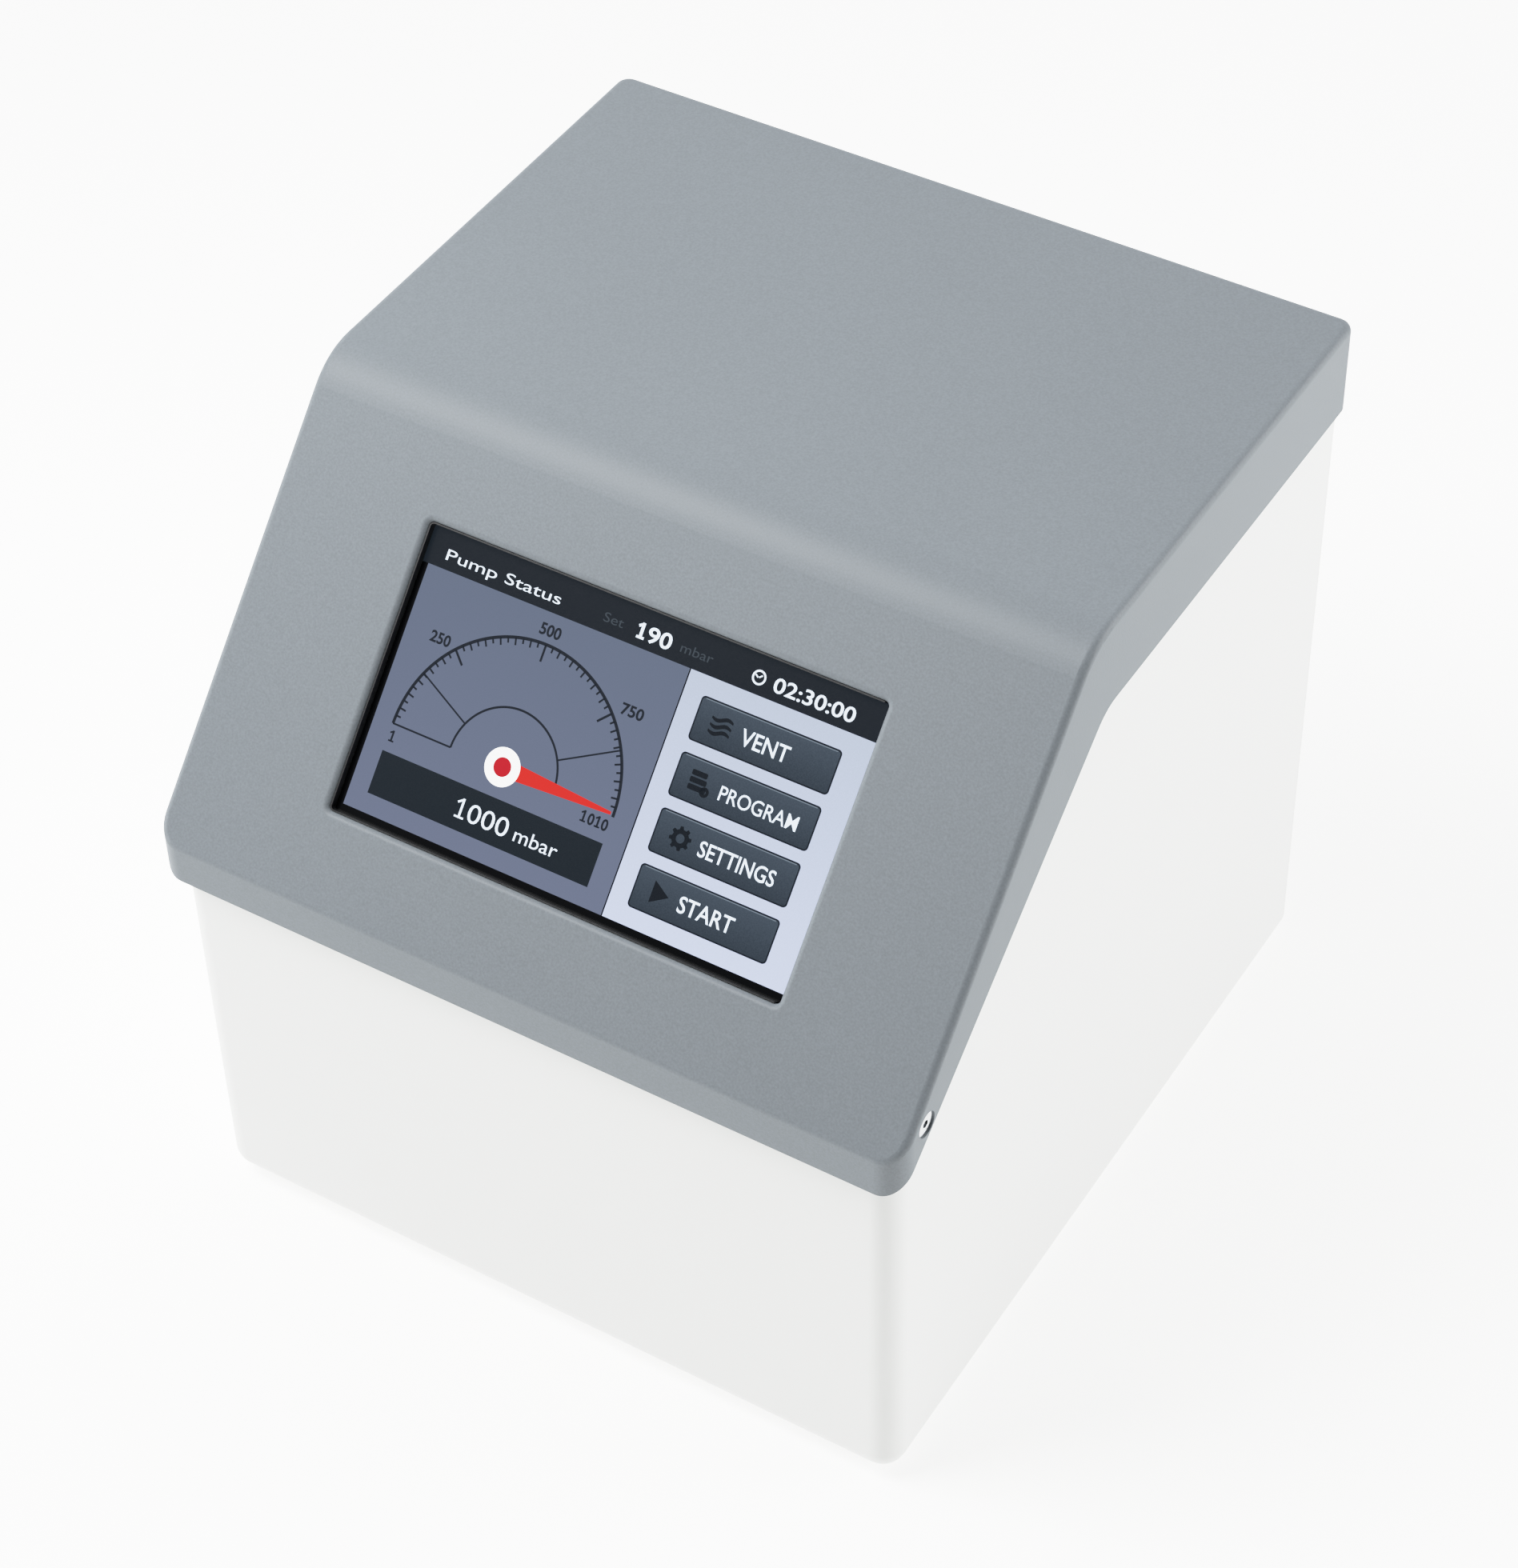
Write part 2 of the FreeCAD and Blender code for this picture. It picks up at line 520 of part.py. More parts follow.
def chassis_screw_places():
    for sign in ("1", "-1"):
        for run in ("chassis_screw_front_run", "chassis_screw_rear_run"):
            yield ("%s * chassis_screw_x" % sign, back(run))


def panel_screw_places():
    for sign in ("1", "-1"):
        for z in ("panel_screw_low_z", "panel_screw_high_z"):
            yield ("%s * panel_screw_x" % sign, z)


def body_shell():
    floor = "foot_height + body_wall"
    added = [tub()]
    removed = []
    for x, y in foot_places():
        added.append(rod("foot_boss", "foot_screw_radius * 2", "foot_boss_height",
                         (x, y, floor + " - weld_sink")))
        removed.append(rod("foot_bore", "foot_screw_radius", "foot_screw_length", (x, y, "foot_height")))
    for x, y in chassis_screw_places():
        height = "chassis_z - foot_height - body_wall + weld_sink"
        added.append(rod("chassis_boss", "chassis_boss_radius", height, (x, y, floor + " - weld_sink")))
        removed.append(rod("chassis_bore", "foot_screw_radius", "chassis_screw_length",
                           (x, y, "chassis_z - chassis_screw_length")))
    for x, z in panel_screw_places():
        at = (x, back("seam_run - panel_post_length"), z)
        added.append(rod("panel_post", "panel_post_radius", "panel_post_length", at, ALONG_Y))
        removed.append(rod("panel_bore", "small_screw_radius", "panel_post_length", at, ALONG_Y))
    for sign in ("1", "-1"):
        turn = FreeCAD.Rotation(Y_AXIS, -90 * int(sign))
        middle = "%s * (cover_width / 2 - body_inset - side_boss_length / 2)" % sign
        outside = "%s * (cover_width / 2 - body_inset + cut_past)" % sign
        added.append(centred("side_boss", ("side_boss_length", "side_boss_width", "side_boss_height"),
                             (middle, back("side_boss_run"), "side_boss_z")))
        removed.append(rod("side_bore", "side_screw_radius", "side_screw_length",
                           (outside, back("side_screw_run"), "side_screw_z"), turn))
    whole = fuse("tub_with_bosses", *added)
    for run in ("slot_run_front", "slot_run_rear"):
        removed.append(slot_row(run))
    node("body_shell", cut("shell", whole, *removed))


def slot_row(run):
    """A row of air slots through the floor, side by side."""
    slots = []
    for index in range(int(size("slot_count"))):
        x = "(%d - (slot_count - 1) / 2) * slot_pitch" % index
        slots.append(centred("floor_slot", ("slot_width", "slot_length", "4 * body_wall"),
                             (x, back(run), "foot_height + body_wall / 2")))
    return fuse("slot_row", *slots)


def rubber_feet():
    feet = []
    for x, y in foot_places():
        pad = cone("foot_pad", "foot_radius - foot_taper", "foot_radius", "foot_height", (x, y, "0"))
        hole = rod("foot_hole", "foot_screw_radius + screw_play", "foot_height", (x, y, "0"))
        recess = rod("foot_well", "foot_recess_radius", "foot_recess", (x, y, "0"))
        feet.append(cut("foot", pad, fuse("foot_holes", hole, recess)))
    node("rubber_feet", group("feet", *feet))


def foot_screws():
    screws = []
    for x, y in foot_places():
        head = rod("foot_head", "foot_screw_head_radius", "foot_screw_head",
                   (x, y, "foot_recess - foot_screw_head"))
        shank = rod("foot_shank", "foot_screw_radius", "foot_screw_length", (x, y, "foot_recess"))
        socket = prism("foot_socket", "hex_socket", "foot_screw_head - foot_socket_floor",
                       (x, y, "foot_recess - foot_screw_head"))
        screws.append(cut("foot_screw", fuse("foot_screw_blank", head, shank), socket))
    node("foot_screws", group("foot_screw_set", *screws))


# ---------- Rear panel ----------

def panel_plate():
    """A tray with a rim towards the body, and the lower corners of the body's outline."""
    body = new_body("panel_plate")
    half = "(cover_width / 2 - body_inset)"
    profile = outline(body, "XZ_Plane", "panel_outline", [
        ("-" + half, "foot_height"), (half, "foot_height"),
        (half, "panel_top_z"), ("-" + half, "panel_top_z")])
    extrude(body, "Pad", "panel_block", profile, "panel_depth", symmetric=False, reverse=True)
    half_width = size("cover_width") / 2 - size("body_inset")
    floor = size("foot_height")
    round_edges(body, "panel_corners", "body_radius",
                lambda m, s: near(abs(m.x), half_width) and near(m.z, floor) and s.YLength > MARGIN)
    depth = size("panel_depth")
    round_edges(body, "panel_edge", "panel_edge_radius",
                lambda m, s: near(m.y, depth) and near(m.z, floor) and s.XLength > half_width)
    rim = "(cover_width / 2 - body_inset - panel_rim)"
    hollow = outline(body, "XZ_Plane", "panel_inside", [
        ("-" + rim, "foot_height + panel_rim + body_wall"), (rim, "foot_height + panel_rim + body_wall"),
        (rim, "panel_top_z - panel_rim"), ("-" + rim, "panel_top_z - panel_rim")])
    before = body.Tip.Shape.Volume
    extrude(body, "Pocket", "panel_hollow", hollow, "panel_depth - panel_wall", symmetric=False)
    if body.Tip.Shape.Volume >= before:
        raise SystemExit("the panel's hollow cuts nothing")
    return locate(body, ("0", back("seam_run"), "0"))


def through_panel(name, radius, x, z):
    return rod(name, radius, "3 * panel_depth", (x, back("seam_run - panel_depth"), z), ALONG_Y)


def window_in_panel(name, width, height, x, z):
    return centred(name, (width, "4 * panel_depth", height), (x, back(PANEL_RUN), z))


def accessory_places():
    return ("accessory_x", "accessory_x + accessory_pitch")


def fan_corner_places():
    for across in ("1", "-1"):
        for up in ("1", "-1"):
            yield ("fan_x + %s * fan_screw_reach" % across, "fan_z + %s * fan_screw_reach" % up)


def inlet_screw_places():
    for across in ("1", "-1"):
        yield ("inlet_x + %s * inlet_screw_reach" % across, "inlet_z")


def rear_panel():
    flange = block("panel_flange", ("flange_width", "flange_wall", "flange_top_z - flange_low_z"),
                   ("-flange_width / 2", back("seam_run - flange_wall"), "flange_low_z"))
    collar = block("flange_root",
                   ("flange_width", "panel_depth", "panel_top_z - flange_low_z - panel_rim / 2"),
                   ("-flange_width / 2", back("seam_run - flange_wall"), "flange_low_z + panel_rim / 2"))
    added = [panel_plate(), flange, collar]
    removed = [through_panel("fan_opening", "fan_panel_radius", "fan_x", "fan_z")]
    for x in rear_screw_places():
        removed.append(rod("flange_bore", "small_screw_radius", "4 * flange_wall",
                           (x, back("seam_run - 2 * flange_wall"), "rear_screw_z"), ALONG_Y))
    for x, z in panel_screw_places():
        added.append(rod("panel_pad", "panel_pad_radius", "panel_depth - weld_sink",
                         (x, back("seam_run"), z), ALONG_Y))
        removed.append(through_panel("panel_screw_hole", "small_screw_radius + screw_play", x, z))
    for x, z in fan_corner_places():
        removed.append(through_panel("fan_screw_hole", "fan_screw_radius + screw_play", x, z))
    for x, z in inlet_screw_places():
        removed.append(through_panel("inlet_screw_hole", "small_screw_radius", x, z))
    for x in ("vacuum_x", "vent_x", "exhaust_x"):
        removed.append(through_panel("port_hole", "thread_radius + screw_play", x, "ports_z"))
    for x in accessory_places():
        removed.append(through_panel("accessory_hole", "accessory_radius + screw_play", x, "sockets_z"))
    removed.append(window_in_panel("inlet_cutout", "inlet_body_width + screw_play",
                                   "inlet_body_height + screw_play", "inlet_x", "inlet_z"))
    removed.append(window_in_panel("switch_cutout", "switch_body_width + screw_play",
                                   "switch_body_height + screw_play", "switch_x", "inlet_z"))
    removed.append(window_in_panel("lan_cutout", "lan_width + screw_play",
                                   "lan_height + screw_play", "lan_x", "sockets_z"))
    for index in range(int(size("vent_slot_count"))):
        x = "fan_x + (%d - (vent_slot_count - 1) / 2) * slot_pitch" % index
        removed.append(window_in_panel("vent_slot", "slot_width", "vent_slot_height", x, "vent_slot_z"))
    node("rear_panel", cut("panel", fuse("panel_with_flange", *added), *removed))


def flush_screw(name, radius, head_radius, head_height, length, x, face_run, z):
    """A pan head screw along Y, its head standing on the face, with a hex socket."""
    head = rod(name + "_head", head_radius, head_height, (x, back(face_run), z), ALONG_Y)
    shank = rod(name + "_shank", radius, length, (x, back(face_run + " - " + length), z), ALONG_Y)
    socket = prism(name + "_socket", "hex_socket", head_height,
                   (x, back(face_run + " + socket_floor"), z), ALONG_Y)
    return cut(name, fuse(name + "_blank", head, shank), socket)


def outer_screws():
    node("cover_side_screws", group("side_screws", *sides(side_screw)))
    node("cover_rear_screws", group("rear_screws", *[rear_screw(x) for x in rear_screw_places()]))
    screws = [flush_screw("panel_screw", "small_screw_radius", "inlet_head_radius", "rear_head_height",
                          "panel_screw_length", x, PANEL_RUN, z) for x, z in panel_screw_places()]
    node("rear_panel_screws", group("panel_screws", *screws))


# ---------- Display ----------

def framed(name, width, height, inner_width, inner_height, thick, low):
    middle = ("window_x", WINDOW_MIDDLE, "%s + (%s) / 2" % (low, thick))
    return cut(name, centred(name + "_sheet", (width, height, thick), middle),
               centred(name + "_hole", (inner_width, inner_height, "3 * (%s)" % thick), middle))


def display_gasket():
    item = framed("gasket", "glass_width", "glass_height", "window_width + gasket_border",
                  "window_height + gasket_border", "gasket_thick", "(-cover_wall - gasket_thick)")
    node("display_gasket", on_slope(item))


def plate_on_slope(name, width, height, thick, low):
    return centred(name, (width, height, thick), ("window_x", WINDOW_MIDDLE, "%s + (%s) / 2" % (low, thick)))


def touch_glass():
    sheet_glass = plate_on_slope("glass_sheet", "glass_width", "glass_height", "glass_thick", LCD_TOP)
    node("touch_glass", on_slope(group("glass", sheet_glass)))


def lcd_module():
    panel = plate_on_slope("lcd_panel", "lcd_width", "lcd_height", "lcd_thick", TRAY_TOP)
    node("lcd_module", on_slope(group("lcd", panel)))


def standoff_places():
    for across in ("1", "-1"):
        for up in ("1", "-1"):
            yield ("window_x + %s * (board_width / 2 - standoff_radius)" % across,
                   "%s + %s * (board_height / 2 - standoff_radius)" % (WINDOW_MIDDLE, up))


def display_frame():
    """The tray that clamps the display, with standoffs for its board."""
    sheet_metal = framed("tray", "tray_width", "tray_height", "tray_window_width", "tray_window_height",
                         "tray_thick", TRAY_BACK)
    legs = [rod("standoff", "standoff_radius", "standoff_height", (x, up, TRAY_BACK + " - standoff_height"))
            for x, up in standoff_places()]
    holes = [rod("tray_hole", "small_screw_radius + screw_play", "3 * tray_thick",
                 (x, up, TRAY_BACK + " - tray_thick")) for x, up in tray_corner_places()]
    node("display_frame", on_slope(cut("drilled_tray", fuse("tray_with_legs", sheet_metal, *legs), *holes)))


def display_screws():
    screws = []
    for x, up in tray_corner_places():
        head = rod("tray_screw_head", "display_head_radius", "display_head_height",
                   (x, up, TRAY_BACK + " - display_head_height"))
        shank = rod("tray_screw_shank", "small_screw_radius", "tray_thick + lcd_thick", (x, up, TRAY_BACK))
        screws.append(fuse("tray_screw", head, shank))
    node("display_screws", on_slope(group("tray_screws", *screws)))


def display_board():
    low = TRAY_BACK + " - standoff_height - board_thick"
    board = plate_on_slope("board", "board_width", "board_height", "board_thick", "(%s)" % low)
    parts = [board]
    for step in (-1, 0, 1):
        middle = ("window_x + %d * 2 * chip_size" % step, WINDOW_MIDDLE,
                  low + " - chip_height / 2 + solder_sink")
        parts.append(centred("chip", ("chip_size", "chip_size", "chip_height"), middle))
    plug_middle = ("window_x", WINDOW_MIDDLE + " + board_height / 2 - plug_height",
                   low + " - plug_height / 2 + solder_sink")
    parts.append(centred("plug", ("plug_length", "plug_height", "plug_height"), plug_middle))
    node("display_board", on_slope(fuse("board_with_chips", *parts)))


# ---------- Chassis ----------

def chassis_plate():
    depth = "chassis_rear_run - chassis_front_run"
    sheet_metal = block("chassis_sheet", ("chassis_width", depth, "chassis_thick"),
                        ("-chassis_width / 2", back("chassis_front_run"), "chassis_z"))
    lip = block("chassis_lip", ("chassis_width", "chassis_thick", "chassis_lip"),
                ("-chassis_width / 2", back("chassis_front_run"), "chassis_z"))
    holes = [rod("chassis_hole", "foot_screw_radius + screw_play", "3 * chassis_thick",
                 (x, y, "chassis_z - cut_past")) for x, y in chassis_screw_places()]
    node("chassis_plate", cut("chassis", fuse("chassis_folded", sheet_metal, lip), *holes))


def chassis_screws():
    screws = []
    for x, y in chassis_screw_places():
        top = "chassis_z + chassis_thick"
        head = rod("chassis_head", "chassis_screw_head_radius", "chassis_screw_head_height", (x, y, top))
        shank = rod("chassis_shank", "foot_screw_radius", "chassis_screw_length",
                    (x, y, top + " - chassis_screw_length"))
        socket = prism("chassis_socket", "hex_socket", "chassis_screw_head_height",
                       (x, y, top + " + chassis_socket_floor"))
        screws.append(cut("chassis_screw", fuse("chassis_screw_blank", head, shank), socket))
    node("chassis_screws", group("chassis_screw_set", *screws))


def pump_mounts():
    mounts = []
    for x in ("mount_left_x", "mount_right_x"):
        for sign in ("1", "-1"):
            at = (x, back("shaft_run + %s * mount_reach" % sign), "chassis_z + chassis_thick")
            mounts.append(rod("mount", "mount_radius", "mount_height", at))
    node("pump_mounts", group("mounts", *mounts))


def motor_cradle():
    """The plate on the rubber mounts, two saddles under the motor and a pad under the crankcase."""
    low = "chassis_z + chassis_thick + mount_height"
    plate = block("cradle_plate", ("cradle_right_x - cradle_left_x", "2 * cradle_reach", "cradle_thick"),
                  ("cradle_left_x", back("shaft_run - cradle_reach"), low))
    pad_height = "case_low_z - chassis_z - chassis_thick - mount_height"
    pad = block("cradle_pad", ("case_length", "2 * case_reach", pad_height),
                ("motor_right_x", back("shaft_run - case_reach"), low))
    rib_height = "rib_top_z - chassis_z - chassis_thick - mount_height"
    ribs = [block("saddle", ("rib_thick", "2 * rib_reach", rib_height),
                  (x, back("shaft_run - rib_reach"), low)) for x in ("rib_left_x", "rib_right_x")]
    room = rod("motor_room", "motor_radius", "motor_right_x - cradle_left_x",
               ("cradle_left_x", back("shaft_run"), "shaft_z"), ALONG_X)
    node("motor_cradle", cut("cradle", fuse("cradle_blank", plate, pad, *ribs), room))


# ---------- Motor ----------

def on_shaft(x):
    return (x, back("shaft_run"), "shaft_z")


def motor_housing():
    length = "motor_right_x - motor_left_x"
    blank = rod("motor_can", "motor_radius", length, on_shaft("motor_left_x"), ALONG_X)
    room = rod("motor_hollow", "motor_radius - motor_wall", length + " - motor_cap",
               on_shaft("motor_left_x + motor_cap"), ALONG_X)
    seat = rod("bearing_seat", "bearing_radius", "bearing_width",
               on_shaft("motor_left_x + motor_cap - bearing_width"), ALONG_X)
    slots = []
    for index in range(int(size("motor_slot_count"))):
        slot = primitive("Part::Box", "air_slot", {"Length": "motor_slot_length", "Width": "motor_slot_width",
                                                   "Height": "motor_radius + cut_past"},
                         ("motor_right_x - 2 * motor_slot_length", back("shaft_run"), "shaft_z"),
                         FreeCAD.Rotation(X_AXIS, 360.0 * index / size("motor_slot_count")))
        slots.append(slot)
    node("motor_housing", cut("motor_shell", blank, room, seat, *slots))


def motor_parts():
    node("motor_stator", ring("stator", "stator_radius", "stator_bore", "stator_length",
                              on_shaft("stator_left_x"), ALONG_X))
    coils = [ring("winding", "winding_outer", "winding_inner", "winding_length", on_shaft(x), ALONG_X)
             for x in ("stator_left_x - winding_length", "stator_left_x + stator_length")]
    node("stator_windings", group("windings", *coils))
    node("motor_rotor", ring("rotor", "rotor_radius", "shaft_radius", "stator_length",
                             on_shaft("stator_left_x"), ALONG_X))
    shaft_length = "shaft_right_x - shaft_left_x"
    node("motor_shaft", rod("shaft", "shaft_radius", shaft_length, on_shaft("shaft_left_x"), ALONG_X))
    bearings = [ring("bearing", "bearing_radius", "bearing_bore", "bearing_width", on_shaft(x), ALONG_X)
                for x in ("motor_left_x + motor_cap - bearing_width",
                          "motor_right_x + case_inner_wall - bearing_width")]
    node("motor_bearings", group("bearings", *bearings))


# ---------- Pump ----------

def head_screw_places():
    for across in ("1", "-1"):
        for along in ("1", "-1"):
            yield ("rod_x + %s * head_screw_x" % across, back("shaft_run + %s * head_screw_y" % along))


def head_screw_bores(low, length, play="screw_play"):
    return [rod("head_screw_bore", "head_screw_radius + " + play, length, (x, y, low))
            for x, y in head_screw_places()]


def crankcase():
    blank = block("case_blank", ("case_length", "2 * case_reach", "case_top_z - case_low_z"),
                  ("motor_right_x", back("shaft_run - case_reach"), "case_low_z"))
    cavity = rod("case_cavity", "case_cavity_radius", "case_length",
                 on_shaft("motor_right_x + case_inner_wall"), ALONG_X)
    seat = rod("case_seat", "bearing_radius", "bearing_width",
               on_shaft("motor_right_x + case_inner_wall - bearing_width"), ALONG_X)
    passage = rod("case_passage", "shaft_radius + shaft_play", "case_length",
                  on_shaft("motor_right_x - cut_past"), ALONG_X)
    mouth = rod("case_mouth", "mouth_radius", "case_top_z - shaft_z", ("rod_x", back("shaft_run"), "shaft_z"))
    bores = head_screw_bores("case_top_z - head_screw_length", "2 * head_screw_length", "0")
    node("crankcase", cut("case", blank, cavity, seat, passage, mouth, *bores))


def crankcase_cover():
    cap = rod("case_cap", "case_cavity_radius", "case_cap",
              on_shaft("motor_right_x + case_length - case_cap"), ALONG_X)
    mouth = rod("cap_relief", "mouth_radius", "case_top_z - shaft_z", ("rod_x", back("shaft_run"), "shaft_z"))
    node("crankcase_cover", cut("case_cover", cap, mouth))


def eccentric():
    """At rest the throw points straight down, so the membrane is at its lowest."""
    low = ("rod_x - journal_width / 2", back("shaft_run"), "shaft_z - throw")
    journal = rod("journal", "journal_radius", "journal_width", low, ALONG_X)
    weight_x = "rod_x + journal_width / 2"
    disc = rod("weight_disc", "weight_radius", "weight_width", on_shaft(weight_x), ALONG_X)
    below = block("weight_cut", ("weight_width", "2 * weight_radius", "weight_radius"),
                  (weight_x, back("shaft_run - weight_radius"), "shaft_z - weight_radius - journal_radius"))
    bore = rod("eccentric_bore", "shaft_radius", "2 * journal_width + weight_width",
               on_shaft("rod_x - journal_width"), ALONG_X)
    weight = cut("weight", disc, below)
    node("eccentric", cut("eccentric_body", fuse("journal_and_weight", journal, weight), bore))


def rod_bearing():
    start = ("rod_x - rod_width / 2", back("shaft_run"), "shaft_z - throw")
    node("rod_bearing", ring("big_end_bearing", "rod_bearing_radius", "rod_bearing_bore", "rod_width",
                             start, ALONG_X))


def connecting_rod():
    start = ("rod_x - rod_width / 2", back("shaft_run"), "shaft_z - throw")
    eye = rod("rod_eye", "rod_eye_radius", "rod_width", start, ALONG_X)
    top = "case_top_z - throw"
    neck = centred("rod_neck_bar", ("rod_width", "rod_neck", "case_top_z - shaft_z"),
                   ("rod_x", back("shaft_run"), "(case_top_z + shaft_z) / 2 - throw"))
    head = rod("rod_head", "rod_head_radius", "rod_head_thick",
               ("rod_x", back("shaft_run"), top + " - rod_head_thick"))
    bore = rod("rod_bore", "rod_bearing_radius", "rod_width", start, ALONG_X)
    tapped = rod("rod_thread", "clamp_stud_radius", "clamp_stud_length",
                 ("rod_x", back("shaft_run"), top + " - clamp_stud_length + membrane_thick"))
    node("connecting_rod", cut("rod_body", fuse("rod_blank", eye, neck, head), bore, tapped))


def clamp_disc():
    low = "case_top_z - throw + membrane_thick"
    disc = rod("clamp_plate", "rod_head_radius", "clamp_thick", ("rod_x", back("shaft_run"), low))
    stud = rod("clamp_stud", "clamp_stud_radius", "clamp_stud_length",
               ("rod_x", back("shaft_run"), low + " - clamp_stud_length"))
    socket = prism("clamp_socket", "hex_socket", "clamp_thick",
                   ("rod_x", back("shaft_run"), low + " + clamp_socket_floor"))
    node("clamp_disc", cut("clamp", fuse("clamp_blank", disc, stud), socket))


def diaphragm():
    """A flat rim, a cone down to the clamped middle, and a hole for the stud."""
    body = new_body("membrane")
    low, high = "case_top_z", "case_top_z + membrane_thick"
    corners = [("clamp_stud_radius", low + " - throw"), ("rod_head_radius", low + " - throw"),
               ("membrane_rim_radius", low), ("membrane_radius", low), ("membrane_radius", high),
               ("membrane_rim_radius", high), ("rod_head_radius", high + " - throw"),
               ("clamp_stud_radius", high + " - throw")]
    profile = outline(body, "XZ_Plane", "membrane_section", corners)
    turned = body.newObject("PartDesign::Revolution", "membrane_ring")
    turned.Profile = profile
    turned.ReferenceAxis = (profile, ["V_Axis"])
    turned.Angle = 360
    doc.recompute()
    node("diaphragm", locate(body, ("rod_x", back("shaft_run"), "0")))


def flap_places():
    for sign in ("1", "-1"):
        yield "rod_x + %s * port_reach" % sign


def head_block(name, low, height):
    return centred(name, ("case_length", "2 * case_reach", height),
                   ("rod_x", back("shaft_run"), "%s + (%s) / 2" % (low, height)))


def valve_head():
    """The chamber over the membrane, a ring that clamps the membrane's rim, and two flap seats."""
    skirt = head_block("head_blank", "case_top_z", "membrane_thick + head_thick")
    rim = rod("rim_seat", "membrane_radius", "membrane_thick", ("rod_x", back("shaft_run"), "case_top_z"))
    chamber = rod("chamber", "mouth_radius", "chamber_depth", ("rod_x", back("shaft_run"), HEAD_LOW_Z))
    removed = [rim, chamber]
    for x in flap_places():
        removed.append(rod("port", "port_radius", "head_thick", (x, back("shaft_run"), HEAD_LOW_Z)))
        removed.append(rod("flap_seat", "flap_radius + flap_play", "flap_pocket",
                           (x, back("shaft_run"), HEAD_TOP_Z + " - flap_pocket")))
    removed += head_screw_bores("case_top_z - cut_past", "2 * head_thick")
    node("valve_head", cut("head", skirt, *removed))


def valve_flaps():
    flaps = [rod("flap", "flap_radius", "flap_thick", (x, back("shaft_run"), HEAD_TOP_Z + " - flap_pocket"))
             for x in flap_places()]
    node("valve_flaps", group("flaps", *flaps))


def head_cover():
    plate = head_block("head_cover_blank", HEAD_TOP_Z, "head_cover_thick")
    added = [plate]
    removed = head_screw_bores(HEAD_TOP_Z + " - cut_past", "2 * head_cover_thick")
    for x in flap_places():
        added.append(rod("head_nipple", "nipple_radius", "nipple_length + weld_sink",
                         (x, back("shaft_run"), HEAD_COVER_TOP_Z + " - weld_sink")))
        removed.append(rod("head_port", "nipple_bore", "head_cover_thick + nipple_length + 2 * cut_past",
                           (x, back("shaft_run"), HEAD_TOP_Z + " - cut_past")))
    node("head_cover", cut("head_lid", fuse("head_lid_blank", *added), *removed))


def head_screws():
    screws = []
    for x, y in head_screw_places():
        head = rod("head_screw_cap", "head_screw_head_radius", "head_screw_head_height",
                   (x, y, HEAD_COVER_TOP_Z))
        shank = rod("head_screw_shank", "head_screw_radius", "head_screw_length",
                    (x, y, HEAD_COVER_TOP_Z + " - head_screw_length"))
        socket = prism("head_screw_socket", "hex_socket", "head_screw_head_height",
                       (x, y, HEAD_COVER_TOP_Z + " + cap_socket_floor"))
        screws.append(cut("head_screw", fuse("head_screw_blank", head, shank), socket))
    node("head_screws", group("head_screw_set", *screws))


# ---------- Pneumatics ----------

def at_port(x, run):
    return (x, back(run), "ports_z")


def manifold():
    """A bored block: the vacuum port and the vent port open into one channel, under the vent valve."""
    blank = block("manifold_blank", ("manifold_length", "manifold_depth", "manifold_height"),
                  ("manifold_left_x", back("manifold_front_run"), "ports_z - manifold_height / 2"))
    nipple = rod("manifold_nipple", "nipple_radius", "tube_front_nipple + weld_sink",
                 at_port("suction_x", "manifold_front_run - tube_front_nipple"), ALONG_Y)
    removed = [rod("manifold_channel", "manifold_bore", "vacuum_x - manifold_left_x",
                   at_port("manifold_left_x", "manifold_front_run + manifold_depth / 2"), ALONG_X)]
    for x in ("vacuum_x", "vent_x"):
        removed.append(rod("manifold_thread", "thread_radius", "manifold_depth / 2 + thread_lead",
                           at_port(x, "manifold_front_run + manifold_depth / 2 - thread_lead"), ALONG_Y))
    removed.append(rod("manifold_inlet", "nipple_bore", "manifold_depth / 2 + tube_front_nipple + cut_past",
                       at_port("suction_x", "manifold_front_run - tube_front_nipple - cut_past"), ALONG_Y))
    removed.append(rod("valve_port", "valve_seat_bore", "manifold_height",
                       ("valve_x", back("manifold_front_run + manifold_depth / 2"), "ports_z")))
    node("manifold", cut("manifold_block", fuse("manifold_with_nipple", blank, nipple), *removed))


def pressure_sensor():
    node("pressure_sensor", rod("sensor", "sensor_radius", "sensor_length",
                                at_port("manifold_left_x - sensor_length",
                                        "manifold_front_run + manifold_depth / 2"), ALONG_X))


def nozzle(label, x):
    """A smooth hose nozzle with shallow rings, a nut to hold it by, and a thread through the panel."""
    nut = prism("nozzle_nut", "nut_radius", "nut_thick", at_port(x, PANEL_RUN), ALONG_Y)
    thread = rod("nozzle_thread", "thread_radius", "thread_length",
                 at_port(x, PANEL_RUN + " - thread_length"), ALONG_Y)
    spout = rod("nozzle_spout", "nozzle_radius", "nozzle_length + weld_sink",
                at_port(x, PANEL_RUN + " + nut_thick - weld_sink"), ALONG_Y)
    bore = rod("nozzle_bore", "nozzle_bore", "3 * nozzle_length + thread_length",
               at_port(x, PANEL_RUN + " - thread_length - cut_past"), ALONG_Y)
    removed = [bore]
    for index in range(3):
        run = PANEL_RUN + " + nut_thick + nozzle_length - %d * nozzle_groove_pitch" % (index + 1)
        removed.append(ring("nozzle_groove", "nozzle_radius + cut_past", "nozzle_radius - nozzle_groove",
                            "nozzle_groove_width", at_port(x, run), ALONG_Y))
    node(label, cut("nozzle", fuse("nozzle_blank", nut, thread, spout), *removed))


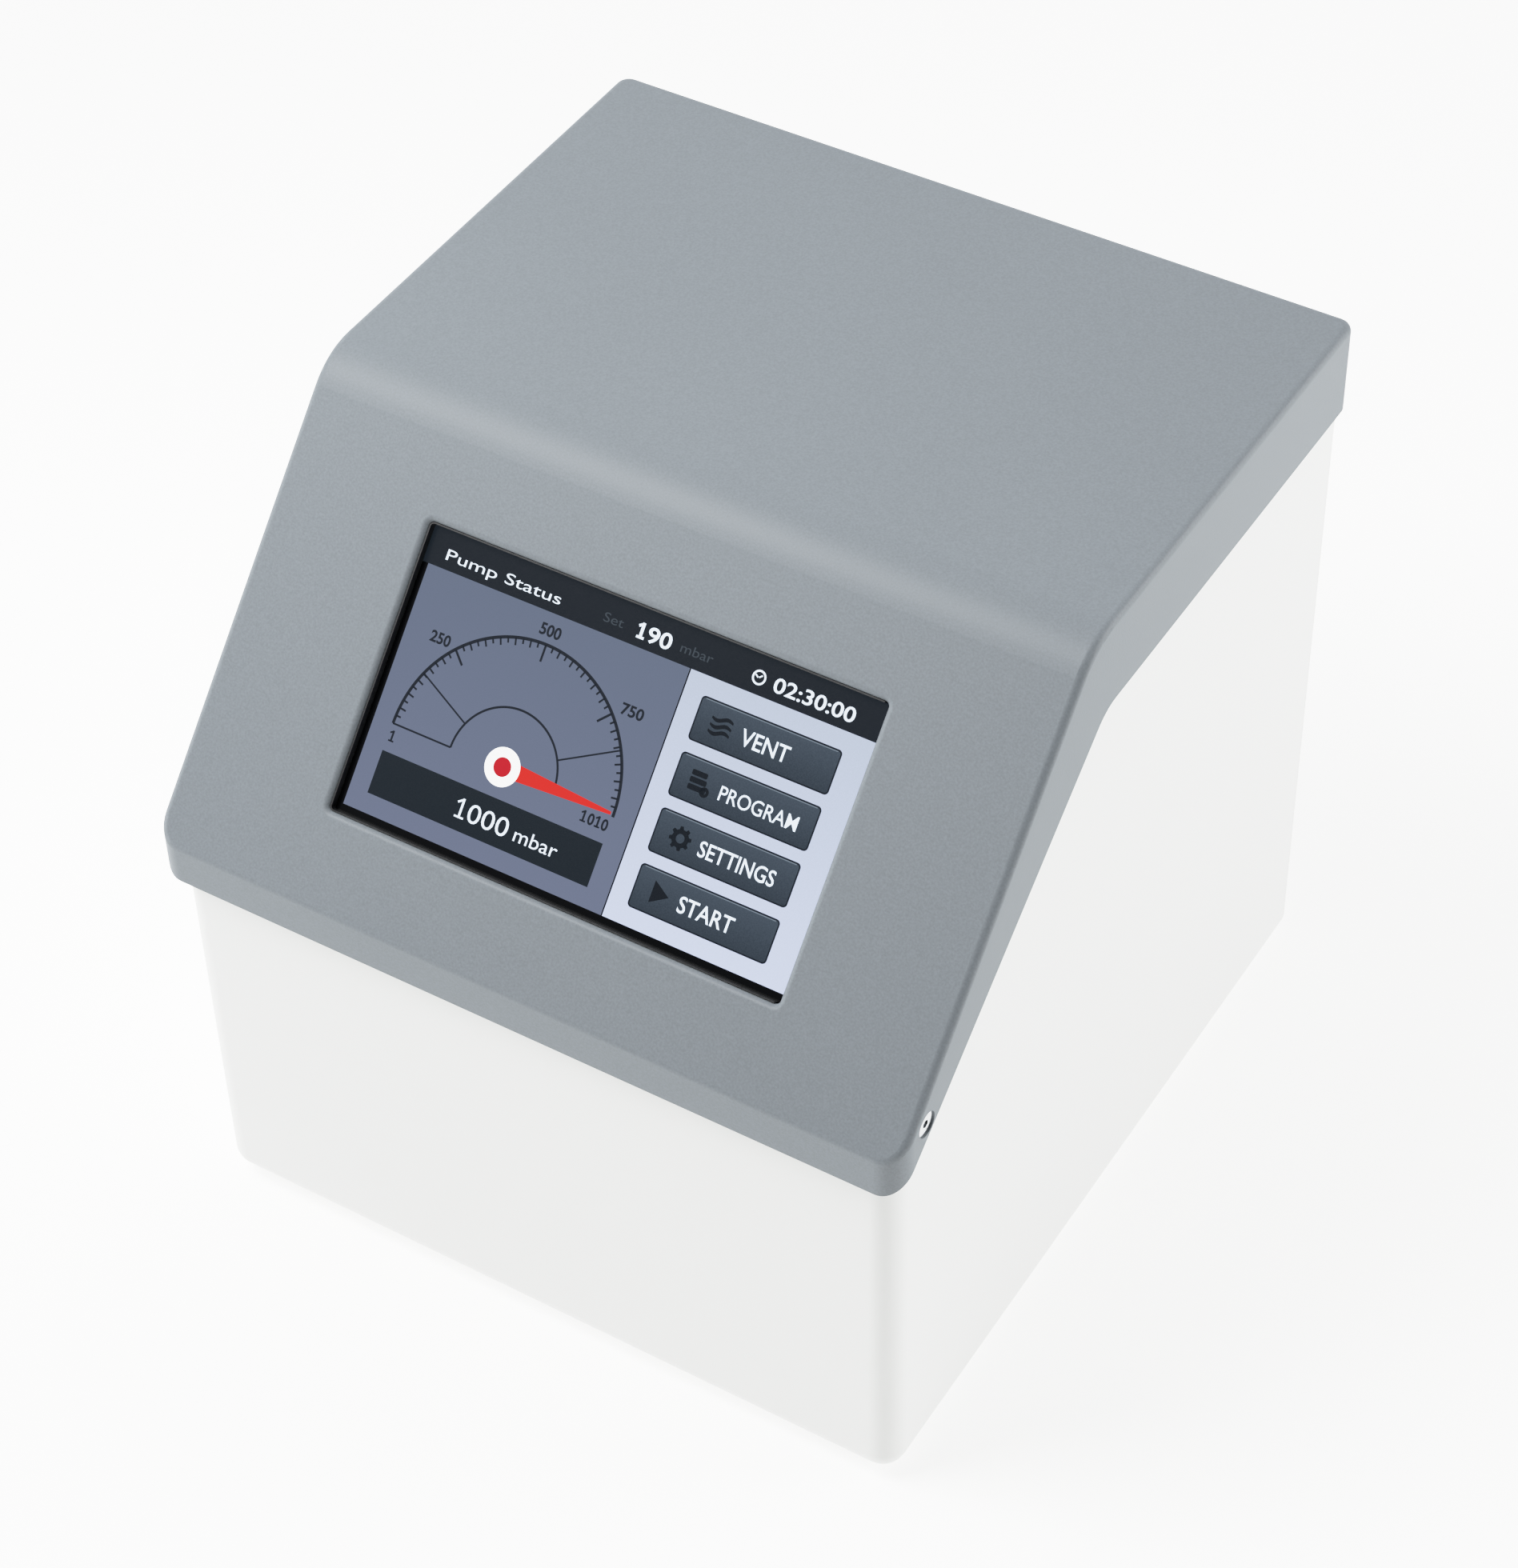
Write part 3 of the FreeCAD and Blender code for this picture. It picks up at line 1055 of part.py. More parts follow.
def vent_silencer():
    """A sintered plug with a nut and a hollow thread."""
    nut = prism("silencer_nut", "nut_radius", "nut_thick", at_port("vent_x", PANEL_RUN), ALONG_Y)
    thread = rod("silencer_thread", "thread_radius", "thread_length",
                 at_port("vent_x", PANEL_RUN + " - thread_length"), ALONG_Y)
    plug = rod("silencer_plug", "silencer_radius", "silencer_length",
               at_port("vent_x", PANEL_RUN + " + nut_thick"), ALONG_Y)
    tip = cone("silencer_tip", "silencer_radius", "silencer_radius / 2", "silencer_radius / 2",
               at_port("vent_x", PANEL_RUN + " + nut_thick + silencer_length"), ALONG_Y)
    bore = rod("silencer_bore", "nozzle_bore", "thread_length + nut_thick + silencer_length - silencer_end",
               at_port("vent_x", PANEL_RUN + " - thread_length - cut_past"), ALONG_Y)
    node("vent_silencer", cut("silencer", fuse("silencer_blank", nut, thread, plug, tip), bore))


def rounded_route(points, bend):
    """A wire of straight runs joined by tangent arcs of one radius."""
    edges = []
    start = points[0]
    for before, corner, after in zip(points, points[1:], points[2:]):
        inward = (before - corner).normalize()
        outward = (after - corner).normalize()
        reach = bend * ((1 + inward.dot(outward)) / (1 - inward.dot(outward))) ** 0.5
        arc_start = corner + inward * reach
        arc_end = corner + outward * reach
        bisector = (inward + outward).normalize()
        middle = corner + bisector * ((reach ** 2 + bend ** 2) ** 0.5 - bend)
        edges.append(Part.makeLine(start, arc_start))
        edges.append(Part.Arc(arc_start, middle, arc_end).toShape())
        start = arc_end
    edges.append(Part.makeLine(start, points[-1]))
    return Part.Wire(edges)


def tube(label, points):
    """A hose along a route: the outer sweep less the bore's."""
    route = rounded_route(points, size("tube_bend"))
    direction = (points[1] - points[0]).normalize()
    sweeps = []
    for radius in (size("tube_radius"), size("tube_bore")):
        circle = Part.Wire([Part.makeCircle(radius, points[0], direction)])
        sweeps.append(route.makePipeShell([circle], True, False))
    hose = doc.addObject("Part::Feature", label)
    hose.Shape = sweeps[0].cut(sweeps[1])
    return node(label, hose)


def tubes():
    front = size("front_y")
    shaft_y = front + size("shaft_run")
    low = size("tube_low_z")
    ports_z = size("ports_z")
    inlet_x = size("rod_x") - size("port_reach")
    outlet_x = size("rod_x") + size("port_reach")
    vector = FreeCAD.Vector
    tube("suction_tube", [
        vector(size("suction_x"), front + size("manifold_front_run"), ports_z),
        vector(size("suction_x"), front + size("suction_bend_run"), ports_z),
        vector(inlet_x, shaft_y, size("suction_top_z")),
        vector(inlet_x, shaft_y, low)])
    tube("exhaust_tube", [
        vector(outlet_x, shaft_y, low),
        vector(outlet_x, shaft_y, size("exhaust_top_z")),
        vector(size("exhaust_x"), front + size("exhaust_bend_run"), ports_z),
        vector(size("exhaust_x"), front + size("exhaust_end_run"), ports_z)])


def over_valve(z):
    return ("valve_x", back("manifold_front_run + manifold_depth / 2"), z)


def vent_valve():
    """A direct-acting valve: base, coil on top, and a plunger that a spring holds on the seat."""
    base = centred("valve_base", ("valve_size", "valve_size", "valve_base_height"),
                   over_valve(MANIFOLD_TOP_Z + " + valve_base_height / 2"))
    well = rod("valve_well", "coil_bore", "valve_base_height", over_valve(PLUNGER_LOW_Z))
    seat = rod("valve_seat", "valve_seat_bore", "valve_base_height",
               over_valve(MANIFOLD_TOP_Z + " - cut_past"))
    node("vent_valve_body", cut("valve_body", base, well, seat))
    coil = rod("coil_can", "coil_radius", "coil_height", over_valve(COIL_LOW_Z))
    bore = rod("coil_bore_hole", "coil_bore", "coil_height - coil_cap", over_valve(COIL_LOW_Z))
    node("vent_valve_coil", cut("coil", coil, bore))
    node("vent_valve_plunger", rod("plunger", "plunger_radius", "plunger_length", over_valve(PLUNGER_LOW_Z)))


def vent_valve_spring():
    """A helix between the plunger's top and the coil's cap."""
    wire = size("spring_wire")
    low = (size("ports_z") + size("manifold_height") / 2 + size("plunger_low") + size("plunger_length")
           + size("spring_gap") + wire)
    high = (size("ports_z") + size("manifold_height") / 2 + size("valve_base_height") + size("coil_height")
            - size("coil_cap") - size("spring_gap") - wire)
    radius = size("spring_radius")
    helix = Part.makeHelix(size("spring_pitch"), high - low, radius)
    circle = Part.Wire([Part.makeCircle(wire, FreeCAD.Vector(radius, 0, 0), Y_AXIS)])
    coil = Part.Wire(helix).makePipeShell([circle], True, True)
    spring = doc.addObject("Part::Feature", "vent_valve_spring")
    spring.Shape = coil
    middle_y = size("front_y") + size("manifold_front_run") + size("manifold_depth") / 2
    spring.Placement = FreeCAD.Placement(FreeCAD.Vector(size("valve_x"), middle_y, low), FreeCAD.Rotation())
    node("vent_valve_spring", spring)


# ---------- Power supply ----------

def psu_board():
    middle = ("supply_x", back("supply_run"), "supply_z")
    board = centred("supply_sheet", ("supply_width", "supply_depth", "board_thick"), middle)
    core = centred("supply_core", ("core_size", "core_size", "core_height"),
                   ("supply_x - supply_width / 2 + core_size", middle[1], "supply_z + core_height / 2"))
    parts = [board, core]
    for index in range(3):
        x = "supply_x + (%d * cap_pitch)" % index
        parts.append(rod("supply_capacitor", "cap_radius", "cap_height", (x, middle[1], "supply_z")))
    for across in ("1", "-1"):
        for along in ("1", "-1"):
            foot = ("supply_x + %s * (supply_width / 2 - standoff_radius)" % across,
                    middle[1] + " + %s * (supply_depth / 2 - standoff_radius)" % along,
                    "chassis_z + chassis_thick")
            parts.append(rod("supply_leg", "standoff_radius", "supply_z - chassis_z - chassis_thick", foot))
    node("psu_board", fuse("supply", *parts))


# ---------- Fan ----------

def on_fan(run):
    return ("fan_x", back(run), "fan_z")


FAN_FRONT = "(seam_run + panel_depth - panel_wall - fan_depth)"


def fan_frame():
    blank = centred("fan_blank", ("fan_size", "fan_depth", "fan_size"),
                    on_fan(PANEL_INNER_RUN + " - fan_depth / 2"))
    low = FAN_FRONT + " - cut_past"
    hole = rod("fan_hole", "fan_hole_radius", "2 * fan_depth", on_fan(low), ALONG_Y)
    holes = [rod("fan_corner_hole", "fan_screw_radius", "2 * fan_depth", (x, back(low), z), ALONG_Y)
             for x, z in fan_corner_places()]
    hub = rod("fan_support", "fan_support_radius", "fan_support_thick", on_fan(FAN_FRONT), ALONG_Y)
    reach = "2 * fan_hole_radius + weld_sink"
    struts = [centred("fan_strut_flat", (reach, "fan_support_thick", "fan_strut_width"),
                      on_fan(FAN_FRONT + " + fan_support_thick / 2")),
              centred("fan_strut_upright", ("fan_strut_width", "fan_support_thick", reach),
                      on_fan(FAN_FRONT + " + fan_support_thick / 2"))]
    node("fan_frame", fuse("fan_housing", cut("fan_shroud", blank, hole, *holes), hub, *struts))


def fan_rotor():
    """Hub and raked blades about the local Z axis, then laid along Y."""
    hub = rod("fan_hub", "fan_hub_radius", "fan_hub_length", ("0", "0", "0"))
    blades = []
    count = int(size("fan_blade_count"))
    for index in range(count):
        rake = FreeCAD.Rotation(X_AXIS, size("fan_blade_pitch"))
        spin = FreeCAD.Rotation(Z_AXIS, 360.0 * index / count)
        middle = FreeCAD.Vector(size("fan_blade_radius") / 2, 0, size("fan_hub_length") / 2)
        half = FreeCAD.Vector(size("fan_blade_radius") / 2, size("fan_blade_width") / 2,
                              size("fan_blade_thick") / 2)
        blade = doc.addObject("Part::Box", "fan_blade")
        blade.setExpression("Length", bound("fan_blade_radius + 2 * cut_past"))
        blade.setExpression("Width", bound("fan_blade_width"))
        blade.setExpression("Height", bound("fan_blade_thick"))
        blade.Placement = FreeCAD.Placement(spin.multVec(middle - rake.multVec(half)), spin.multiply(rake))
        blades.append(blade)
    swept = rod("fan_swept", "fan_blade_radius", "fan_hub_length", ("0", "0", "0"))
    trimmed = doc.addObject("Part::MultiCommon", "fan_blades_trimmed")
    trimmed.Shapes = [fuse("fan_blade_set", *blades), swept]
    rotor = fuse("rotor_whole", hub, trimmed)
    rotor.Placement = FreeCAD.Placement(FreeCAD.Vector(), ALONG_Y)
    node("fan_rotor", locate(rotor, on_fan(FAN_FRONT + " + fan_support_thick + fan_gap")))


def fan_guard():
    """Round wires on two crossed bars, with an eye at each fan screw."""
    face = PANEL_RUN + " + guard_bar_rise"
    parts = []
    for index in range(int(size("guard_ring_count"))):
        sizes = {"Radius1": "guard_ring_step * (%d)" % (index + 1), "Radius2": "guard_wire"}
        parts.append(primitive("Part::Torus", "guard_ring", sizes,
                               on_fan(face + " + guard_ring_rise"), ALONG_Y))
    for x, z in fan_corner_places():
        parts.append(rod("guard_eye", "guard_eye_radius", "guard_eye_thick",
                         (x, back(PANEL_RUN), z), ALONG_Y))
    for sign in ("1", "-1"):
        corner = ("fan_x - %s * fan_screw_reach" % sign, back(face), "fan_z - fan_screw_reach")
        parts.append(rod("guard_bar", "guard_wire", "2 * fan_screw_reach * sqrt(2)", corner,
                         FreeCAD.Rotation(Y_AXIS, 45 * int(sign))))
    holes = [rod("guard_hole", "fan_screw_radius + screw_play", "8 * guard_wire",
                 (x, back(PANEL_RUN + " - guard_wire"), z), ALONG_Y) for x, z in fan_corner_places()]
    node("fan_guard", cut("guard", fuse("guard_wires", *parts), *holes))


def fan_screws():
    screws = [flush_screw("fan_screw", "fan_screw_radius", "fan_head_radius", "fan_head_height",
                          "fan_screw_length", x, "(seam_run + panel_depth + guard_eye_thick)", z)
              for x, z in fan_corner_places()]
    node("fan_screws", group("fan_screw_set", *screws))


# ---------- Mains inlet ----------

def at_inlet(run, rise="0"):
    return ("inlet_x", back(run), "inlet_z + " + rise)


INLET_FACE = "(seam_run + panel_depth + inlet_flange_thick)"


def power_inlet():
    """One moulding: flange, body, the plug's well and the fuse drawer's well."""
    flange = centred("inlet_flange", ("inlet_flange_width", "inlet_flange_thick", "inlet_flange_height"),
                     at_inlet(PANEL_RUN + " + inlet_flange_thick / 2"))
    body = centred("inlet_body", ("inlet_body_width", "inlet_body_depth", "inlet_body_height"),
                   at_inlet(PANEL_RUN + " - inlet_body_depth / 2"))
    well = centred("plug_well", ("socket_width", "2 * socket_depth", "socket_height"),
                   at_inlet(INLET_FACE, "socket_rise"))
    depth = "drawer_length + fit_gap"
    drawer = centred("drawer_well", ("drawer_width + 2 * fit_gap", depth, "drawer_height + 2 * fit_gap"),
                     at_inlet(INLET_FACE + " - (drawer_length + fit_gap) / 2", "(-drawer_drop)"))
    removed = [well, drawer]
    for x, z in inlet_pin_places():
        removed.append(centred("pin_slot", ("pin_thick", "pin_length", "pin_height"),
                               (x, back(INLET_FACE + " - pin_end - pin_length / 2"), z)))
    for x, z in inlet_screw_places():
        removed.append(rod("flange_hole", "small_screw_radius + screw_play", "3 * inlet_flange_thick",
                           (x, back(PANEL_RUN + " - inlet_flange_thick"), z), ALONG_Y))
    node("power_inlet", cut("inlet", fuse("inlet_blank", flange, body), *removed))


def inlet_pin_places():
    """Line and neutral, and the earth pin between them and higher."""
    row = "inlet_z + socket_rise - earth_rise / 2"
    return (("inlet_x - pin_pitch", row), ("inlet_x", row + " + earth_rise"), ("inlet_x + pin_pitch", row))


def inlet_pins():
    pins = [centred("pin", ("pin_thick", "pin_length", "pin_height"),
                    (x, back(INLET_FACE + " - pin_end - pin_length / 2"), z)) for x, z in inlet_pin_places()]
    node("inlet_pins", group("pins", *pins))


def fuse_drawer():
    """A shallow drawer with a face to pull it by, and a pocket for one cartridge fuse."""
    length = "drawer_length - fit_gap"
    tray = centred("drawer_tray", ("drawer_width", length, "drawer_height"),
                   at_inlet(INLET_FACE + " - (%s) / 2" % length, "(-drawer_drop)"))
    face = centred("drawer_face", ("drawer_face_width", "drawer_lip", "drawer_face_height"),
                   at_inlet(INLET_FACE + " + drawer_lip / 2", "(-drawer_drop)"))
    pocket = centred("fuse_pocket", ("fuse_length", "fuse_pocket", "drawer_height"),
                     at_inlet(INLET_FACE + " - drawer_length / 2", "(drawer_floor - drawer_drop)"))
    notch = centred("drawer_notch", ("drawer_height", "drawer_lip", "drawer_lip"),
                    at_inlet(INLET_FACE + " + drawer_lip", "(drawer_face_height / 2 - drawer_drop)"))
    node("fuse_drawer", cut("drawer", fuse("drawer_blank", tray, face), pocket, notch))
    fuse_at = ("inlet_x - fuse_length / 2", back(INLET_FACE + " - drawer_length / 2"),
               "inlet_z - drawer_drop - drawer_height / 2 + drawer_floor + fuse_radius")
    node("fuse_link", rod("cartridge", "fuse_radius", "fuse_length", fuse_at, ALONG_X))


def inlet_screws():
    screws = [flush_screw("inlet_screw", "small_screw_radius", "inlet_head_radius", "rear_head_height",
                          "inlet_screw_length", x, INLET_FACE, z) for x, z in inlet_screw_places()]
    node("inlet_screws", group("inlet_screw_set", *screws))


# ---------- Power switch ----------

def at_switch(run):
    return ("switch_x", back(run), "inlet_z")


SWITCH_FACE = "(seam_run + panel_depth + switch_bezel_thick)"


def switch_housing():
    bezel = centred("switch_bezel", ("switch_bezel_width", "switch_bezel_thick", "switch_bezel_height"),
                    at_switch(PANEL_RUN + " + switch_bezel_thick / 2"))
    body = centred("switch_body", ("switch_body_width", "switch_body_depth", "switch_body_height"),
                   at_switch(PANEL_RUN + " - switch_body_depth / 2"))
    well = centred("switch_well", ("switch_cavity_width", "2 * switch_cavity_depth", "switch_cavity_height"),
                   at_switch(SWITCH_FACE))
    bore = rod("pivot_socket", "rocker_pin_bore", "rocker_pin_socket_length",
               ("switch_x - rocker_pin_socket_length / 2", back("rocker_pivot_run"), "inlet_z"), ALONG_X)
    node("switch_housing", cut("switch", fuse("switch_blank", bezel, body), well, bore))


def power_rocker():
    """A rocker with a valley across its middle, tipped to its off side, on a pin along X."""
    body = new_body("rocker_key")
    profile = outline(body, "YZ_Plane", "rocker_side", [
        ("rocker_back", "-(rocker_half_height - rocker_taper)"), ("rocker_crest", "-rocker_half_height"),
        ("rocker_valley", "0"), ("rocker_crest", "rocker_half_height"),
        ("rocker_back", "rocker_half_height - rocker_taper")])
    extrude(body, "Pad", "rocker_pad", profile, "rocker_width")
    pin = rod("rocker_pin", "rocker_pin_radius", "rocker_pin_length",
              ("-rocker_pin_length / 2", "0", "0"), ALONG_X)
    rocker = fuse("rocker", body, pin)
    rocker.Placement = FreeCAD.Placement(FreeCAD.Vector(), FreeCAD.Rotation(X_AXIS, size("rocker_tilt")))
    node("power_rocker", locate(rocker, at_switch("rocker_pivot_run")))


# ---------- Signal sockets ----------

def lan_port():
    face = PANEL_RUN + " + lan_proud"
    shell = centred("lan_shell", ("lan_width", "lan_depth", "lan_height"),
                    ("lan_x", back(face + " - lan_depth / 2"), "sockets_z"))
    well = centred("lan_well", ("lan_hole_width", "2 * lan_hole_depth", "lan_hole_height"),
                   ("lan_x", back(face), "sockets_z"))
    node("lan_port", cut("lan", shell, well))


def accessory_sockets():
    """Two round screw-lock sockets, each with a nut, a shallow well and a ring of contacts."""
    sockets = []
    for x in accessory_places():
        barrel = rod("accessory_barrel", "accessory_radius", "accessory_length",
                     (x, back(PANEL_RUN + " + accessory_nut_thick - accessory_length"), "sockets_z"), ALONG_Y)
        nut = prism("accessory_nut", "accessory_nut_radius", "accessory_nut_thick",
                    (x, back(PANEL_RUN), "sockets_z"), ALONG_Y)
        well_floor = PANEL_RUN + " + accessory_nut_thick - accessory_recess"
        well = rod("accessory_well", "accessory_recess_radius", "2 * accessory_recess",
                   (x, back(well_floor), "sockets_z"), ALONG_Y)
        hollow = cut("accessory_socket", fuse("accessory_blank", barrel, nut), well)
        contacts = []
        count = int(size("contact_count"))
        for index in range(count):
            angle = "%g" % (360.0 * index / count)
            contacts.append(rod("contact", "contact_radius", "contact_length + contact_root",
                                (x + " + contact_reach * cos(%s)" % angle,
                                 back(well_floor + " - contact_root"),
                                 "sockets_z + contact_reach * sin(%s)" % angle), ALONG_Y))
        sockets.append(fuse("accessory_with_contacts", hollow, *contacts))
    node("accessory_sockets", group("accessories", *sockets))


# ---------- Build, check and write ----------

def build():
    for make in (top_cover, body_shell, rear_panel, rubber_feet, foot_screws, outer_screws,
                 display_gasket, touch_glass, lcd_module, display_frame, display_screws, display_board,
                 chassis_plate, chassis_screws, pump_mounts, motor_cradle, motor_housing, motor_parts,
                 crankcase, crankcase_cover, eccentric, rod_bearing, connecting_rod, clamp_disc, diaphragm,
                 valve_head, valve_flaps, head_cover, head_screws, manifold, pressure_sensor,
                 vent_silencer, tubes, vent_valve, vent_valve_spring, psu_board,
                 fan_frame, fan_rotor, fan_guard, fan_screws, power_inlet, inlet_pins, fuse_drawer,
                 inlet_screws, switch_housing, power_rocker, lan_port, accessory_sockets):
        make()
    nozzle("vacuum_nozzle", "vacuum_x")
    nozzle("exhaust_nozzle", "exhaust_x")
    doc.recompute()


def check():
    for item in doc.Objects:
        if "Invalid" in item.State or "Error" in item.State:
            raise SystemExit("%s failed: %s" % (item.Name, item.State))
    for item in nodes:
        if item.Shape.isNull() or not item.Shape.isValid() or not item.Shape.Solids:
            raise SystemExit("%s has no valid solid" % item.Label)


def write():
    os.makedirs("parts", exist_ok=True)
    for item in nodes:
        item.Shape.exportStep("parts/%s.step" % item.Label)
    print(len(nodes), "pieces written")


build()
check()
write()
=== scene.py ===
"""A benchtop vacuum pump with a sloping touch display, standing in a plain pale studio.

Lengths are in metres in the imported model's frame: X to the right, Y to the rear, Z up. Screen and
panel drawings are in millimetres, and become metres where they are placed.
"""
import json
import math

import bmesh
import bpy
from mathutils import Matrix, Vector


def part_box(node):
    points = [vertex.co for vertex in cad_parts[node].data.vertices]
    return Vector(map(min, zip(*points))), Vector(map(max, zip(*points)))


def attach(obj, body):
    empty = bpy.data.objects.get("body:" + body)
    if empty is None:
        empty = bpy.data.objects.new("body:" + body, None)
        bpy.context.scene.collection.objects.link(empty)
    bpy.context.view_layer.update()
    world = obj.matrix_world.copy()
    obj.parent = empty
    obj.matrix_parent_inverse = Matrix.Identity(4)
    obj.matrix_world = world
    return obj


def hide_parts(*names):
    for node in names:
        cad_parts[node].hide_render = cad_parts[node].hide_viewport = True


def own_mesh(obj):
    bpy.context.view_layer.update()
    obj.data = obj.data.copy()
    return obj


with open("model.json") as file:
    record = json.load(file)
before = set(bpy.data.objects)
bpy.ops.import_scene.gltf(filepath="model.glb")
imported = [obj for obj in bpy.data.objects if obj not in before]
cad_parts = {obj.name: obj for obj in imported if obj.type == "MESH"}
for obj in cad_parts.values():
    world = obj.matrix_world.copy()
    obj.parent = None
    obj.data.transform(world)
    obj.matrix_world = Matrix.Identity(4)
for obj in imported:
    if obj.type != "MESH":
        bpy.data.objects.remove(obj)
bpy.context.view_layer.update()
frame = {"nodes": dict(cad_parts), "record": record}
NODES = frame["nodes"]
MM = 0.001


def linear(red, green, blue):
    """A display colour from 0 to 255 as linear light."""
    out = []
    for value in (red, green, blue):
        share = value / 255
        out.append(share / 12.92 if share <= 0.04045 else ((share + 0.055) / 1.055) ** 2.4)
    return out


# How the film answers to light: a scene's brightness, and how bright it shows.
TONES = ((0.0, 0.0), (0.15, 0.155), (0.3, 0.305), (0.5, 0.495), (0.75, 0.68), (1.05, 0.81), (1.4, 0.885),
         (2.0, 0.957), (3.0, 1.0))


def glowing(red, green, blue):
    """The light a surface has to give off to show as a display colour from 0 to 255."""
    out = []
    for value in linear(red, green, blue):
        for (dark, dark_shown), (bright, bright_shown) in zip(TONES, TONES[1:]):
            if value <= bright_shown:
                share = (value - dark_shown) / (bright_shown - dark_shown)
                out.append(dark + share * (bright - dark))
                break
    return out


# ---------- Camera ----------

CAMERA_TARGET = Vector((-0.00106, -0.01126, 0.1224))
CAMERA_DISTANCE = 1.2479
CAMERA_AZIMUTH = math.radians(32.49)
CAMERA_ELEVATION = math.radians(44.41)
CAMERA_ROLL = math.radians(-1.61)
CAMERA_LENS = 92.39


def make_camera():
    level = math.cos(CAMERA_ELEVATION)
    back = Vector((math.sin(CAMERA_AZIMUTH) * level, -math.cos(CAMERA_AZIMUTH) * level,
                   math.sin(CAMERA_ELEVATION)))
    right = (-back).cross(Vector((0, 0, 1))).normalized()
    up = right.cross(-back)
    across = right * math.cos(CAMERA_ROLL) + up * math.sin(CAMERA_ROLL)
    upward = up * math.cos(CAMERA_ROLL) - right * math.sin(CAMERA_ROLL)
    data = bpy.data.cameras.new("camera")
    data.lens = CAMERA_LENS
    data.clip_start, data.clip_end = 0.05, 100
    camera = bpy.data.objects.new("camera", data)
    bpy.context.scene.collection.objects.link(camera)
    pose = Matrix((across, upward, back)).transposed().to_4x4()
    pose.translation = CAMERA_TARGET + back * CAMERA_DISTANCE
    camera.matrix_world = pose
    bpy.context.scene.camera = camera


# ---------- Materials ----------

GLASS_SPECULAR, GLASS_ROUGHNESS, GLASS_BLACK = 0.10, (0.18, 0.26), (0.004, 0.004, 0.005)
# How fine the slow shifts in tone and the screen's grain are, and the grain's share of the screen's light
BLOTCH_SCALE, SCREEN_GRAIN, GRAIN_SHARE = 14, 2500, 0.25


def new_material(name):
    material = bpy.data.materials.new(name)
    material.use_nodes = True
    tree = material.node_tree
    tree.nodes.clear()
    output = tree.nodes.new("ShaderNodeOutputMaterial")
    surface = tree.nodes.new("ShaderNodeBsdfPrincipled")
    tree.links.new(surface.outputs["BSDF"], output.inputs["Surface"])
    return material, tree, surface


def noise(tree, scale, detail=2.0, stretch=(1, 1, 1)):
    place = tree.nodes.new("ShaderNodeTexCoord")
    mapping = tree.nodes.new("ShaderNodeMapping")
    mapping.inputs["Scale"].default_value = stretch
    texture = tree.nodes.new("ShaderNodeTexNoise")
    texture.inputs["Scale"].default_value = scale
    texture.inputs["Detail"].default_value = detail
    tree.links.new(place.outputs["Object"], mapping.inputs["Vector"])
    tree.links.new(mapping.outputs["Vector"], texture.inputs["Vector"])
    return texture.outputs[0]


def spread(tree, value, low, high, source=(0.3, 0.7)):
    """The value's range between the two source limits, carried over to low and high."""
    node = tree.nodes.new("ShaderNodeMapRange")
    node.inputs["From Min"].default_value, node.inputs["From Max"].default_value = source
    node.inputs["To Min"].default_value, node.inputs["To Max"].default_value = low, high
    tree.links.new(value, node.inputs["Value"])
    return node.outputs["Result"]


def plug(tree, socket, value):
    """Feed a socket from another one, or set it to a number or to a colour's three numbers."""
    if isinstance(value, bpy.types.NodeSocket):
        tree.links.new(value, socket)
    elif isinstance(value, float):
        socket.default_value = value
    else:
        socket.default_value = (*value, 1)


def blended(tree, share, first, second):
    """A mix of two colours; the share and each colour may be a socket or numbers."""
    node = tree.nodes.new("ShaderNodeMix")
    node.data_type = "RGBA"
    plug(tree, node.inputs[0], share)
    plug(tree, node.inputs[6], first)
    plug(tree, node.inputs[7], second)
    return node.outputs[2]


def scaled(colour, factor):
    return [min(1.0, part * factor) for part in colour]


def varied(tree, pattern, dark, bright, swing):
    """A pattern's range as colour, from a little under one colour to a little over the other."""
    return blended(tree, spread(tree, pattern, 0, 1), scaled(dark, 1 - swing), scaled(bright, 1 + swing))


def textured(name, colour, roughness=0.5, grain=900, contrast=0.06, bump=0.15, depth=0.1, blotch=0.03,
             stretch=(1, 1, 1), metallic=0.0, specular=0.5, rough_spread=0.06):
    """A finish with fine grain in its colour, gloss and relief, over slow shifts in tone."""
    material, tree, surface = new_material(name)
    fine = noise(tree, grain, 3.0, stretch)
    slow = noise(tree, BLOTCH_SCALE)
    speckled = varied(tree, fine, colour, colour, contrast)
    tone = varied(tree, slow, colour, colour, blotch)
    plug(tree, surface.inputs["Base Color"], blended(tree, 0.5, speckled, tone))
    tree.links.new(spread(tree, fine, roughness - rough_spread, roughness + rough_spread),
                   surface.inputs["Roughness"])
    relief = tree.nodes.new("ShaderNodeBump")
    relief.inputs["Strength"].default_value = bump
    relief.inputs["Distance"].default_value = depth * MM
    tree.links.new(fine, relief.inputs["Height"])
    tree.links.new(relief.outputs["Normal"], surface.inputs["Normal"])
    surface.inputs["Metallic"].default_value = metallic
    surface.inputs["Specular IOR Level"].default_value = specular
    return material


